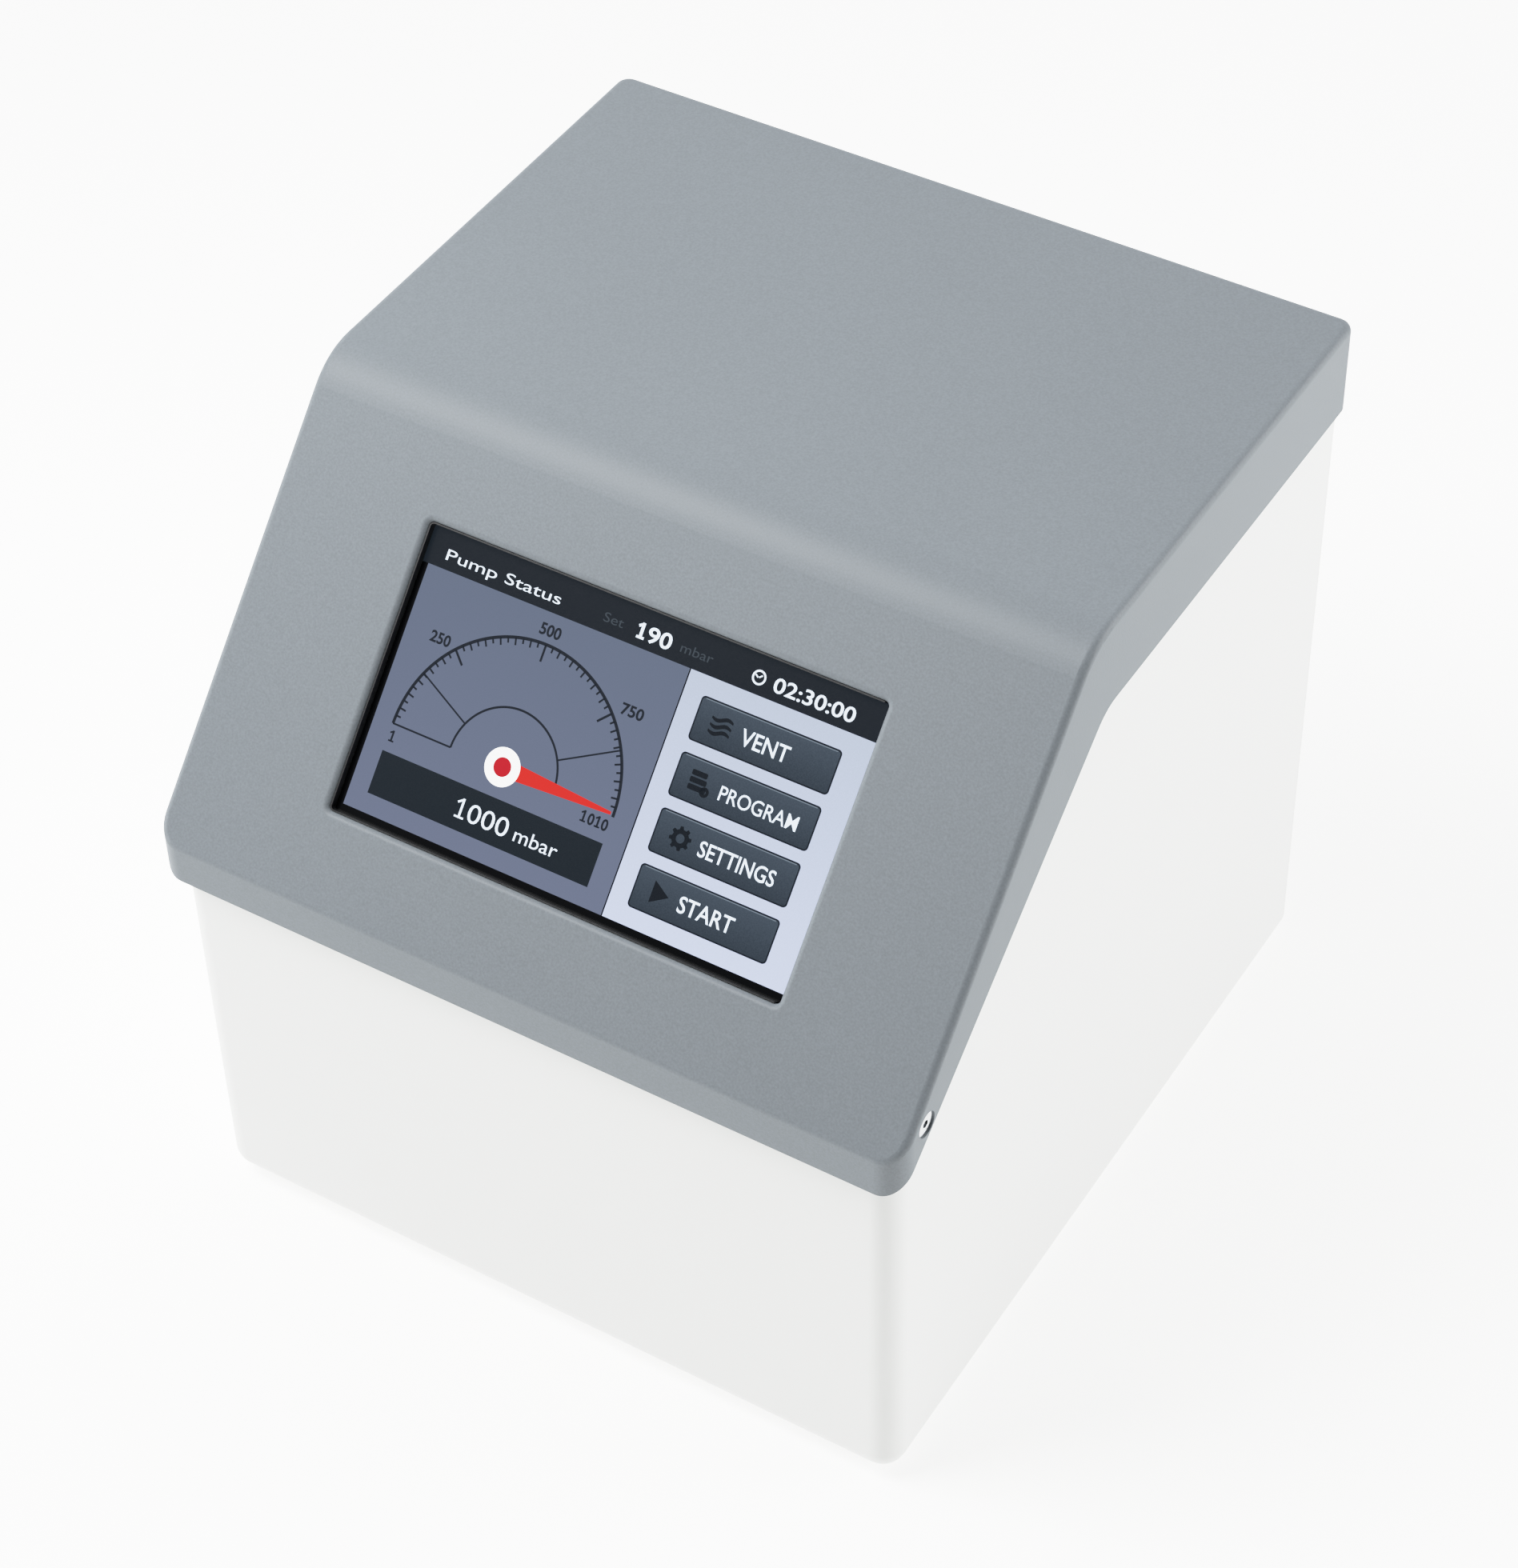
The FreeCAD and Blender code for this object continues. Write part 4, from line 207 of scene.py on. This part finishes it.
def lit(name, low, high, height, texture):
    """A lit part of the display: a glow that runs from one colour at the foot of a span of height to another
    at its top, under the sheen of the glass."""
    material, tree, surface = new_material(name)
    place = tree.nodes.new("ShaderNodeTexCoord")
    parts = tree.nodes.new("ShaderNodeSeparateXYZ")
    tree.links.new(place.outputs["Object"], parts.inputs["Vector"])
    glow = blended(tree, spread(tree, parts.outputs["Z"], 0, 1, height), low, high)
    grid = noise(tree, SCREEN_GRAIN, 1.0)
    shade = varied(tree, grid, low, high, texture)
    plug(tree, surface.inputs["Emission Color"], blended(tree, GRAIN_SHARE, glow, shade))
    surface.inputs["Emission Strength"].default_value = 1.0
    surface.inputs["Base Color"].default_value = (*GLASS_BLACK, 1)
    tree.links.new(spread(tree, grid, *GLASS_ROUGHNESS), surface.inputs["Roughness"])
    surface.inputs["Specular IOR Level"].default_value = GLASS_SPECULAR
    return material


FINISHES = {
    "cover_grey": dict(colour=[0.175, 0.195, 0.212], roughness=0.46, grain=1500, contrast=0.17, bump=0.28,
                       depth=0.12, blotch=0.02, specular=0.3),
    "body_white": dict(colour=[0.78, 0.785, 0.77], roughness=0.5, grain=1100, contrast=0.012, bump=0.10,
                       blotch=0.008, specular=0.4),
    "rubber_black": dict(colour=linear(34, 34, 36), roughness=0.75, grain=1300, contrast=0.12, bump=0.35),
    "screw_steel": dict(colour=linear(150, 152, 155), roughness=0.32, grain=2200, metallic=1.0, bump=0.1),
    "screw_chrome": dict(colour=linear(215, 217, 220), roughness=0.14, grain=2600, contrast=0.03,
                         metallic=1.0, bump=0.05, rough_spread=0.04),
    "display_glass": dict(colour=linear(9, 10, 12), roughness=0.16, grain=2400, contrast=0.05, bump=0.02,
                          specular=GLASS_SPECULAR, rough_spread=0.03),
    "black_plastic": dict(colour=linear(30, 31, 33), roughness=0.42, grain=1400, contrast=0.10, bump=0.25),
    "sheet_steel": dict(colour=linear(168, 170, 172), roughness=0.38, grain=500, contrast=0.10,
                        metallic=1.0, stretch=(0.1, 1, 1), bump=0.12),
    "circuit_board": dict(colour=linear(28, 84, 56), roughness=0.4, grain=420, contrast=0.3, bump=0.3),
    "sheet_aluminium": dict(colour=linear(196, 198, 200), roughness=0.35, grain=600, contrast=0.06,
                            metallic=1.0, stretch=(0.1, 1, 1), bump=0.1),
    "cast_aluminium": dict(colour=linear(170, 172, 174), roughness=0.52, grain=700, contrast=0.12,
                           metallic=0.9, bump=0.4),
    "core_steel": dict(colour=linear(96, 98, 104), roughness=0.45, grain=1800, contrast=0.2,
                       metallic=1.0, stretch=(6, 1, 1), bump=0.3),
    "copper_wire": dict(colour=linear(184, 106, 62), roughness=0.34, grain=1500, contrast=0.2,
                        metallic=1.0, stretch=(1, 4, 4), bump=0.5),
    "pump_plastic": dict(colour=linear(58, 60, 64), roughness=0.48, grain=1200, contrast=0.10, bump=0.25),
    "brass": dict(colour=linear(196, 160, 92), roughness=0.3, grain=1500, contrast=0.10, metallic=1.0),
    "nozzle_plastic": dict(colour=linear(46, 48, 51), roughness=0.4, grain=1400, contrast=0.08, bump=0.2),
    "tube_rubber": dict(colour=linear(44, 44, 46), roughness=0.62, grain=1000, contrast=0.10, bump=0.3),
    "fuse_glass": dict(colour=linear(206, 212, 214), roughness=0.12, grain=900, contrast=0.05, specular=0.6),
    "rocker_plastic": dict(colour=linear(26, 26, 28), roughness=0.3, grain=1500, contrast=0.08, bump=0.15),
}


def finish_nodes():
    """Every CAD node gets the material of its slot."""
    made = {slot: textured(slot + "_finish", **values) for slot, values in FINISHES.items()}
    for part in frame["record"]["subparts"]:
        mesh = NODES[part["node"]].data
        mesh.materials.clear()
        mesh.materials.append(made[part["material_slot"]])
    return made


# ---------- Pieces ----------

def make_piece(name, mesh, material, body="root"):
    mesh.name = name
    mesh.materials.clear()
    mesh.materials.append(material)
    piece = bpy.data.objects.new(name, mesh)
    bpy.context.scene.collection.objects.link(piece)
    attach(piece, body)
    return piece


def raised(outlines, place, lift, thick):
    """Closed flat outlines, given thickness. Outlines that share an edge become one sheet."""
    build = bmesh.new()
    for outline in outlines:
        build.faces.new([build.verts.new(place(u, v, lift)) for u, v in outline])
    bmesh.ops.remove_doubles(build, verts=build.verts, dist=1e-6)
    lifted = bmesh.ops.extrude_face_region(build, geom=build.faces[:], use_keep_orig=True)
    corners = [item for item in lifted["geom"] if isinstance(item, bmesh.types.BMVert)]
    shift = place(0, 0, lift + thick) - place(0, 0, lift)
    bmesh.ops.translate(build, vec=shift, verts=corners)
    bmesh.ops.recalc_face_normals(build, faces=build.faces)
    mesh = bpy.data.meshes.new("raised")
    build.to_mesh(mesh)
    build.free()
    return mesh


def joined(meshes):
    build = bmesh.new()
    for mesh in meshes:
        build.from_mesh(mesh)
        bpy.data.meshes.remove(mesh)
    mesh = bpy.data.meshes.new("joined")
    build.to_mesh(mesh)
    build.free()
    return mesh


def box_outline(left, top, right, low):
    return [(left, top), (right, top), (right, low), (left, low)]


def rounded_outline(left, top, right, low, radius, steps=6):
    points = []
    corners = ((right - radius, top + radius, -90), (right - radius, low - radius, 0),
               (left + radius, low - radius, 90), (left + radius, top + radius, 180))
    for u, v, start in corners:
        for step in range(steps + 1):
            angle = math.radians(start + 90 * step / steps)
            points.append((u + radius * math.cos(angle), v + radius * math.sin(angle)))
    return points


def polar(centre, radius, degrees):
    """A point at an angle measured from the right towards the top, with v running down."""
    angle = math.radians(degrees)
    return (centre[0] + radius * math.cos(angle), centre[1] - radius * math.sin(angle))


def arc_strip(centre, inner, outer, start, end, steps=64):
    strips = []
    for step in range(steps):
        first = start + (end - start) * step / steps
        second = start + (end - start) * (step + 1) / steps
        strips.append([polar(centre, inner, first), polar(centre, outer, first),
                       polar(centre, outer, second), polar(centre, inner, second)])
    return strips


def disc_outline(centre, radius, steps=48):
    return [polar(centre, radius, 360 * step / steps) for step in range(steps)]


def bar(start, end, width, end_width=None):
    """A straight line between two points, with a width at each end."""
    end_width = width if end_width is None else end_width
    along = (Vector(end) - Vector(start)).normalized()
    side = Vector((-along.y, along.x))
    return [tuple(Vector(start) + side * width / 2), tuple(Vector(end) + side * end_width / 2),
            tuple(Vector(end) - side * end_width / 2), tuple(Vector(start) - side * width / 2)]


def wave(left, right, level, swing, thick, steps=14):
    """A thick line that swings once above and once below its level."""
    top, low = [], []
    for step in range(steps + 1):
        u = left + (right - left) * step / steps
        v = level + swing * math.sin(2 * math.pi * step / steps)
        half = thick / 2 * (0.55 + 0.45 * math.sin(math.pi * step / steps))
        top.append((u, v - half))
        low.append((u, v + half))
    return [[top[k], top[k + 1], low[k + 1], low[k]] for k in range(steps)]


CAP_SHARE = 0.729
LETTER_DEPTH = 0.01


def lettering(text, place, left, base, cap, width, lift, bold=0.0):
    """A line of text whose capitals are cap high, fitted between left and left + width on its base line."""
    curve = bpy.data.curves.new("letters", "FONT")
    curve.body = text
    curve.resolution_u = 4
    curve.offset = bold
    curve.extrude = 0.5
    holder = bpy.data.objects.new("letters", curve)
    bpy.context.scene.collection.objects.link(holder)
    bpy.context.view_layer.update()
    mesh = bpy.data.meshes.new_from_object(holder)
    bpy.data.objects.remove(holder)
    bpy.data.curves.remove(curve)
    start = min(vertex.co.x for vertex in mesh.vertices)
    end = max(vertex.co.x for vertex in mesh.vertices)
    across = width / (end - start)
    tall = cap / CAP_SHARE
    for vertex in mesh.vertices:
        x, y, z = vertex.co
        vertex.co = place(left + (x - start) * across, base - y * tall, lift + (z + 0.5) * 2 * LETTER_DEPTH)
    return mesh


# ---------- Display ----------

SLOPE = math.radians(46.8)
GLASS_LOW, GLASS_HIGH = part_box("touch_glass")
GLASS_MIDDLE = (GLASS_LOW + GLASS_HIGH) / 2
GLASS_HALF_THICK = 0.9
SCREEN_UP = Vector((0, math.cos(SLOPE), math.sin(SLOPE)))
SCREEN_OUT = Vector((0, -math.sin(SLOPE), math.cos(SLOPE)))
SCREEN_HALF_WIDTH, SCREEN_HALF_HEIGHT = 78.0, 44.25
LAYER = 0.02
DIAL = (48.6, 58.6)
DIAL_RADIUS, DIAL_INNER = 38.0, 17.8
BUTTON_TOPS = (17.0, 33.7, 50.5, 67.3)
BUTTON_LEFT, BUTTON_RIGHT, BUTTON_HEIGHT = 99.9, 145.6, 13.2


def on_screen(u, v, lift):
    """A point on the glass: u to the right and v down from the screen's top left corner."""
    return (GLASS_MIDDLE + Vector((1, 0, 0)) * (u - SCREEN_HALF_WIDTH) * MM
            + SCREEN_UP * (SCREEN_HALF_HEIGHT - v) * MM + SCREEN_OUT * (GLASS_HALF_THICK + lift) * MM)


def screen_height(v):
    return on_screen(0, v, 0).z


def show(name, outlines, layer, low, high, span=(88, 0), texture=0.03):
    """A flat lit shape on the screen, on one of its layers, shaded between two colours over a span of v."""
    mesh = raised(outlines, on_screen, layer * LAYER, LAYER)
    heights = (screen_height(span[0]), screen_height(span[1]))
    material = lit(name + "_glow", low, high, heights, texture)
    return make_piece(name, mesh, material)


def show_text(name, lines, layer, colour):
    """Lines of text as one piece. A line is its text, left, base line, height, width and boldness."""
    made = [lettering(text, on_screen, left, base, cap, width, layer * LAYER, bold)
            for text, left, base, cap, width, bold in lines]
    glow = lit(name + "_glow", colour, colour, (0.1, 0.3), 0.02)
    return make_piece(name, joined(made), glow)


def dial_lines():
    outlines = arc_strip(DIAL, DIAL_RADIUS - 0.5, DIAL_RADIUS + 0.45, 180, -0.5, 120)
    outlines += arc_strip(DIAL, DIAL_INNER - 0.33, DIAL_INNER + 0.33, 180, 3, 60)
    outlines.append(bar(polar(DIAL, DIAL_INNER, 180), polar(DIAL, DIAL_RADIUS, 180), 0.55))
    for degrees in (153.5, 28.5):
        outlines.append(bar(polar(DIAL, DIAL_INNER, degrees), polar(DIAL, DIAL_RADIUS, degrees), 0.5))
    for degrees in (135, 90, 45):
        outlines.append(bar(polar(DIAL, DIAL_RADIUS - 5.2, degrees), polar(DIAL, DIAL_RADIUS, degrees), 0.7))
    for index in range(1, 48):
        if index % 12:
            degrees = 180 - index * 3.75
            length = 1.7 if index % 2 else 2.3
            outlines.append(bar(polar(DIAL, DIAL_RADIUS - length, degrees),
                                polar(DIAL, DIAL_RADIUS, degrees), 0.56))
    return outlines


def figure_one(left, base, cap, stroke):
    """The figure 1 with a flag and a foot."""
    middle = left + cap * 0.3
    top = base - cap
    return [bar((middle, base), (middle, top), stroke),
            bar((middle, top + stroke * 0.4), (left, top + cap * 0.26), stroke * 0.85),
            box_outline(left + cap * 0.03, base - stroke * 0.8, left + cap * 0.57, base)]


def button_icons():
    """An air stream, a list, a cog and a triangle, one for each button."""
    middles = [top + BUTTON_HEIGHT / 2 for top in BUTTON_TOPS]
    outlines = []
    for offset in (-1.9, 0.1, 2.0):
        outlines += wave(104.9, 111.8, middles[0] + offset, 0.55, 1.25)
    for row in range(3):
        top = middles[1] - 3.0 + row * 2.1
        outlines.append(rounded_outline(104.9, top, 109.9 + 0.4 * row, top + 1.6, 0.4, 3))
    outlines += arc_strip((110.4, middles[1] + 2.2), 0.55, 1.5, 0, 360, 20)
    cog = (108.4, middles[2])
    outlines += arc_strip(cog, 1.35, 2.7, 0, 360, 32)
    for tooth in range(8):
        outlines.append(bar(polar(cog, 2.5, 45 * tooth + 10), polar(cog, 3.5, 45 * tooth + 10), 1.35, 0.95))
    outlines.append([(105.8, middles[3] - 3.3), (111.3, middles[3]), (105.8, middles[3] + 3.3)])
    return outlines


def make_screen():
    ink = glowing(31, 37, 46)
    white = glowing(238, 243, 247)
    header = (glowing(24, 31, 38), glowing(27, 34, 41))
    show("screen_header", [box_outline(2.0, 0.1, 154.3, 11.5)], 0, *header)
    show("screen_dial_pane", [box_outline(4, 11.5, 93.4, 86)], 0,
         glowing(116, 124, 148), glowing(103, 114, 134))
    show("screen_menu_pane", [box_outline(93.8, 11.5, 154.3, 86)], 0,
         glowing(213, 219, 234), glowing(190, 198, 214), texture=0.08)
    show("screen_dial_lines", dial_lines(), 1, ink, ink)
    show("screen_readout", [box_outline(10.3, 67, 86.5, 80.2)], 1, glowing(26, 35, 42), glowing(32, 41, 48))
    for index, top in enumerate(BUTTON_TOPS):
        low = top + BUTTON_HEIGHT
        edge = rounded_outline(BUTTON_LEFT, top, BUTTON_RIGHT, low, 1.3)
        face = rounded_outline(BUTTON_LEFT + 0.45, top + 0.45, BUTTON_RIGHT - 0.45, low - 0.45, 0.95)
        gleam = box_outline(BUTTON_LEFT + 1.4, top + 0.5, BUTTON_RIGHT - 1.4, top + 0.78)
        show("screen_button_edge_%d" % index, [edge], 1, glowing(20, 28, 36), glowing(26, 34, 43), (low, top))
        show("screen_button_%d" % index, [face], 2, glowing(47, 57, 67), glowing(74, 86, 99), (low, top))
        show("screen_button_gleam_%d" % index, [gleam], 3, glowing(122, 135, 148), glowing(122, 135, 148))
    show("screen_button_icons", button_icons(), 3, glowing(19, 26, 33), glowing(19, 26, 33))
    hub = (DIAL[0], DIAL[1] - 0.6)
    red = glowing(222, 52, 44)
    show("screen_needle", [bar((hub[0] + 4, hub[1]), (85.6, hub[1] + 0.1), 5.0, 0.9)], 2, red, red)
    show("screen_hub", [disc_outline(hub, 5.8)], 3, glowing(250, 250, 250), glowing(250, 250, 250))
    show("screen_hub_centre", [disc_outline(hub, 2.85)], 4, glowing(202, 36, 48), glowing(202, 36, 48))
    clock = (114.2, 6.7)
    hands = [bar(clock, (115.1, 5.9), 0.45), bar((113.9, 6.8), (112.9, 6.1), 0.45)]
    show("screen_clock", arc_strip(clock, 1.6, 2.2, 0, 360, 40) + hands, 1, white, white)
    show_text("screen_scale", [
        ("250", 12.6, 32.1, 3.4, 6.8, 0.025), ("500", 45.0, 18.2, 3.5, 7.0, 0.025),
        ("750", 77.6, 30.7, 3.4, 7.4, 0.025), ("0", 79.4, 63.5, 3.4, 2.1, 0.025),
        ("0", 84.0, 63.5, 3.4, 2.1, 0.025)], 1, ink)
    ones = [(10.8, 63.9, 3.4), (77.0, 63.5, 3.4), (81.8, 63.5, 3.4)]
    show("screen_scale_ones", [part for one in ones for part in figure_one(*one, 0.62)], 1, ink, ink)
    show_text("screen_words", [
        ("Pump Status", 8.8, 8.7, 3.4, 39.5, 0.0), ("90", 77.6, 9.1, 4.7, 7.9, 0.018),
        ("02:30:00", 119.2, 8.9, 4.4, 26.2, 0.015), ("VENT", 115.2, 26.2, 5.0, 15.6, 0.012),
        ("PROGRAM", 114.9, 42.9, 4.5, 25.4, 0.006), ("SETTINGS", 114.8, 59.7, 4.8, 24.8, 0.012),
        ("START", 114.7, 76.5, 5.0, 18.0, 0.012), ("000", 43.2, 76.6, 5.9, 13.8, 0.0),
        ("mbar", 59.4, 76.4, 4.4, 14.6, 0.0)], 3, white)
    show("screen_ones", figure_one(39.0, 76.6, 5.9, 0.75) + figure_one(74.1, 9.1, 4.7, 1.0), 3, white, white)
    show_text("screen_faint_words", [
        ("Set", 62.8, 8.2, 2.9, 6.6, 0.0), ("mbar", 88.6, 8.2, 2.9, 10.6, 0.0)], 1, glowing(66, 75, 83))


# The black band that darkens the window's inside walls: its outline, corner, width and where it stops on the
# right
DARK_BAND_LEFT, DARK_BAND_TOP, DARK_BAND_RIGHT, DARK_BAND_FOOT = 1.52, -0.38, 154.48, 88.88
DARK_BAND_CORNER, DARK_BAND_THICK, DARK_BAND_END = 1.5, 0.45, 152


def make_window_dark_band(material):
    """A thin black band that darkens the inside walls of the cover's window, from the glass almost to the
    lip, with no band along the window's right side."""
    outer = rounded_outline(DARK_BAND_LEFT, DARK_BAND_TOP, DARK_BAND_RIGHT, DARK_BAND_FOOT, DARK_BAND_CORNER, 8)
    inner = rounded_outline(DARK_BAND_LEFT + DARK_BAND_THICK, DARK_BAND_TOP + DARK_BAND_THICK, DARK_BAND_RIGHT - DARK_BAND_THICK,
                            DARK_BAND_FOOT - DARK_BAND_THICK, DARK_BAND_CORNER - DARK_BAND_THICK, 8)
    count = len(outer)
    walls = [[outer[k], outer[(k + 1) % count], inner[(k + 1) % count], inner[k]] for k in range(count)
             if min(outer[k][0], outer[(k + 1) % count][0]) < DARK_BAND_END]
    mesh = raised(walls, on_screen, 0.0, 2.5)
    make_piece("window_dark_band", mesh, material)


# ---------- Rear details ----------

PANEL_FACE_Y = 121.5
PORT_MARKS_Z = 210
VACUUM_X, VENT_X, EXHAUST_X = 75, 45, 5
ARROW_LENGTH, RING_RADII, DOT_RADII = 7, (2.1, 2.8), (0.01, 0.9)
PAINT_THICK = 0.04
ROCKER_PIVOT = Vector((38, 116.5, 44)) * MM
ROCKER_TILT = math.radians(-8)
ROCKER_VALLEY, ROCKER_CREST, ROCKER_HALF = 5, 7, 12
LAN_MIDDLE = (98, 105)
LAN_FACE_Y, LAN_HALF_HEIGHT = 122.5, 4.2


def on_panel(u, v, lift):
    """A point on the rear panel, seen from behind: u towards the left side, v upwards."""
    return Vector((-u, PANEL_FACE_Y + lift, v)) * MM


def arrow(middle, tall, down):
    """An arrow that points up or down, with its middle at a point."""
    u, v = middle
    side = -1 if down else 1
    neck, tip, foot = v + side * 0.05 * tall, v + side * tall / 2, v - side * tall / 2
    return [box_outline(u - 0.55, foot, u + 0.55, neck), [(u - 1.9, neck), (u + 1.9, neck), (u, tip)]]


def make_port_marks(ink):
    """Painted marks over the ports: an arrow down at the vacuum port, an arrow up at the exhaust, and a
    ring round a dot at the vent."""
    vacuum, vent, exhaust = ((-x, PORT_MARKS_Z) for x in (VACUUM_X, VENT_X, EXHAUST_X))
    outlines = arrow(vacuum, ARROW_LENGTH, True) + arrow(exhaust, ARROW_LENGTH, False)
    outlines += arc_strip(vent, *RING_RADII, 0, 360, 32)
    outlines += arc_strip(vent, *DOT_RADII, 0, 360, 16)
    make_piece("port_marks", raised(outlines, on_panel, 0.005, PAINT_THICK), ink)


def on_rocker(half):
    """Places on one half of the rocker's face, with half 1 for the upper and -1 for the lower."""
    turn = Matrix.Rotation(ROCKER_TILT, 3, "X")
    rise = ROCKER_CREST - ROCKER_VALLEY
    middle = Vector((0, (ROCKER_VALLEY + ROCKER_CREST) / 2, half * ROCKER_HALF / 2))
    along = Vector((0, half * rise, ROCKER_HALF)).normalized()
    out = Vector((0, ROCKER_HALF, -half * rise)).normalized()

    def place(u, v, lift):
        return ROCKER_PIVOT + turn @ (middle - Vector((u, 0, 0)) + along * v + out * lift) * MM
    return place


def make_rocker_marks(ink):
    """A bar for on and a ring for off, one on each half of the rocker."""
    on_mark = raised([box_outline(-0.4, -2.4, 0.4, 2.4)], on_rocker(1), 0.01, PAINT_THICK)
    off_mark = raised(arc_strip((0, 0), 1.7, 2.4, 0, 360, 40), on_rocker(-1), 0.01, PAINT_THICK)
    make_piece("rocker_marks", joined([on_mark, off_mark]), ink, "power_rocker")


def make_lan_contacts(metal):
    """Eight sprung contacts that slope down into the socket from its upper wall."""
    meshes = []
    for index in range(8):
        x = LAN_MIDDLE[0] + (index - 3.5) * 1.05

        def beside(depth, rise, across, x=x):
            return Vector((x - 0.24 + across, LAN_FACE_Y - depth, LAN_MIDDLE[1] + rise)) * MM

        upper = [(2.0, LAN_HALF_HEIGHT - 0.3), (3.0, LAN_HALF_HEIGHT - 0.4), (10.0, 1.2), (11.5, 0.9)]
        lower = [(depth, rise - 0.35) for depth, rise in upper]
        strips = [[upper[k], upper[k + 1], lower[k + 1], lower[k]] for k in range(len(upper) - 1)]
        meshes.append(raised(strips, beside, 0, 0.48))
    make_piece("lan_contacts", joined(meshes), metal)


def make_rear_details(finishes):
    """The painted marks and the small metal on the rear panel."""
    dark_ink = textured("dark_ink_finish", linear(52, 55, 60), roughness=0.55, grain=3000,
                        contrast=0.10, bump=0.05)
    pale_ink = textured("pale_ink_finish", linear(212, 214, 214), roughness=0.5, grain=3000,
                        contrast=0.05, bump=0.05)
    make_port_marks(dark_ink)
    make_rocker_marks(pale_ink)
    make_lan_contacts(finishes["brass"])


# ---------- Vent valve ----------


def make_valve_spring(metal):
    """The vent valve's spring, copied from its CAD node into a piece of its own, with the node hidden."""
    source = NODES["vent_valve_spring"]
    mesh = source.data.copy()
    mesh.transform(source.matrix_world)
    spring = make_piece("vent_spring_coil", mesh, metal)
    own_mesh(spring)
    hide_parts("vent_valve_spring")


# ---------- Studio ----------

HORIZON_GLOW, LOW_DOME_GLOW, ZENITH_GLOW = 1.85, 0.7, 1.62
# Heights on a dome of radius 1, over which the horizon's band ends and the dome brightens
BAND_END, DOME_RISE = (0.13, 0.2), (0.2, 0.75)
# The sky goes dark towards this side, as a direction gets this close to it
DARK_SIDE, DARK_REACH = Vector((0.66, -0.72, 0.2)), (-0.28, 0.55)
FLOOR_GLOW, FLOOR_GREY = 0.86, (0.8, 0.8, 0.79)


def softbox(name, place, aim, size, power):
    data = bpy.data.lights.new(name, "AREA")
    data.size = size
    data.energy = power
    lamp = bpy.data.objects.new(name, data)
    bpy.context.scene.collection.objects.link(lamp)
    lamp.location = place
    lamp.rotation_euler = (Vector(aim) - Vector(place)).to_track_quat("-Z", "Y").to_euler()
    lamp.visible_camera = False


def make_sky():
    """As bright as the floor at the horizon, dimmer in the dome above it and dimmest behind the camera."""
    world = bpy.data.worlds.new("studio")
    world.use_nodes = True
    tree = world.node_tree
    sky = tree.nodes["Background"]
    place = tree.nodes.new("ShaderNodeTexCoord")
    parts = tree.nodes.new("ShaderNodeSeparateXYZ")
    tree.links.new(place.outputs["Generated"], parts.inputs["Vector"])
    dome = spread(tree, parts.outputs["Z"], LOW_DOME_GLOW, ZENITH_GLOW, DOME_RISE)
    edge = spread(tree, parts.outputs["Z"], 1, 0, BAND_END)
    rise = tree.nodes.new("ShaderNodeMix")
    tree.links.new(edge, rise.inputs[0])
    tree.links.new(dome, rise.inputs[2])
    rise.inputs[3].default_value = HORIZON_GLOW
    facing = tree.nodes.new("ShaderNodeVectorMath")
    facing.operation = "DOT_PRODUCT"
    facing.inputs[1].default_value = DARK_SIDE.normalized()
    tree.links.new(place.outputs["Generated"], facing.inputs[0])
    dim = spread(tree, facing.outputs["Value"], 1, 0, DARK_REACH)
    product = tree.nodes.new("ShaderNodeMath")
    product.operation = "MULTIPLY"
    tree.links.new(rise.outputs[0], product.inputs[0])
    tree.links.new(dim, product.inputs[1])
    sky.inputs["Color"].default_value = (0.975, 0.99, 1.0, 1)
    tree.links.new(product.outputs["Value"], sky.inputs["Strength"])
    bpy.context.scene.world = world


def make_floor():
    build = bmesh.new()
    bmesh.ops.create_grid(build, x_segments=1, y_segments=1, size=30)
    mesh = bpy.data.meshes.new("floor")
    build.to_mesh(mesh)
    build.free()
    floor = bpy.data.objects.new("floor", mesh)
    bpy.context.scene.collection.objects.link(floor)
    material, tree, surface = new_material("floor_paper")
    surface.inputs["Base Color"].default_value = (*FLOOR_GREY, 1)
    surface.inputs["Roughness"].default_value = 0.9
    surface.inputs["Specular IOR Level"].default_value = 0.0
    surface.inputs["Emission Color"].default_value = (1, 1, 0.99, 1)
    surface.inputs["Emission Strength"].default_value = FLOOR_GLOW
    mesh.materials.append(material)


def set_tones():
    view = bpy.context.scene.view_settings
    view.view_transform = "Standard"
    view.use_curve_mapping = True
    mapping = view.curve_mapping
    brightest = TONES[-1][0]
    mapping.white_level = (brightest, brightest, brightest)
    mapping.extend = "HORIZONTAL"
    points = mapping.curves[3].points
    for brightness, shown in TONES[1:-1]:
        points.new(brightness / brightest, shown)
    mapping.update()


def make_studio():
    """The sky, the floor, the film's tones and three soft lights."""
    make_sky()
    make_floor()
    set_tones()
    softbox("left_light", (-1.9, -1.0, 0.5), (0, 0, 0.15), 1.0, 12)
    softbox("top_light", (-0.45, -0.42, 1.15), (0, 0, 0.2), 0.6, 14)
    softbox("right_light", (1.45, 0.85, 0.55), (0, 0, 0.12), 0.9, 19.5)


make_camera()
finishes = finish_nodes()
make_screen()
# The black band that darkens the inside walls of the window
make_window_dark_band(finishes["black_plastic"])
make_rear_details(finishes)
make_valve_spring(finishes["screw_steel"])
make_studio()
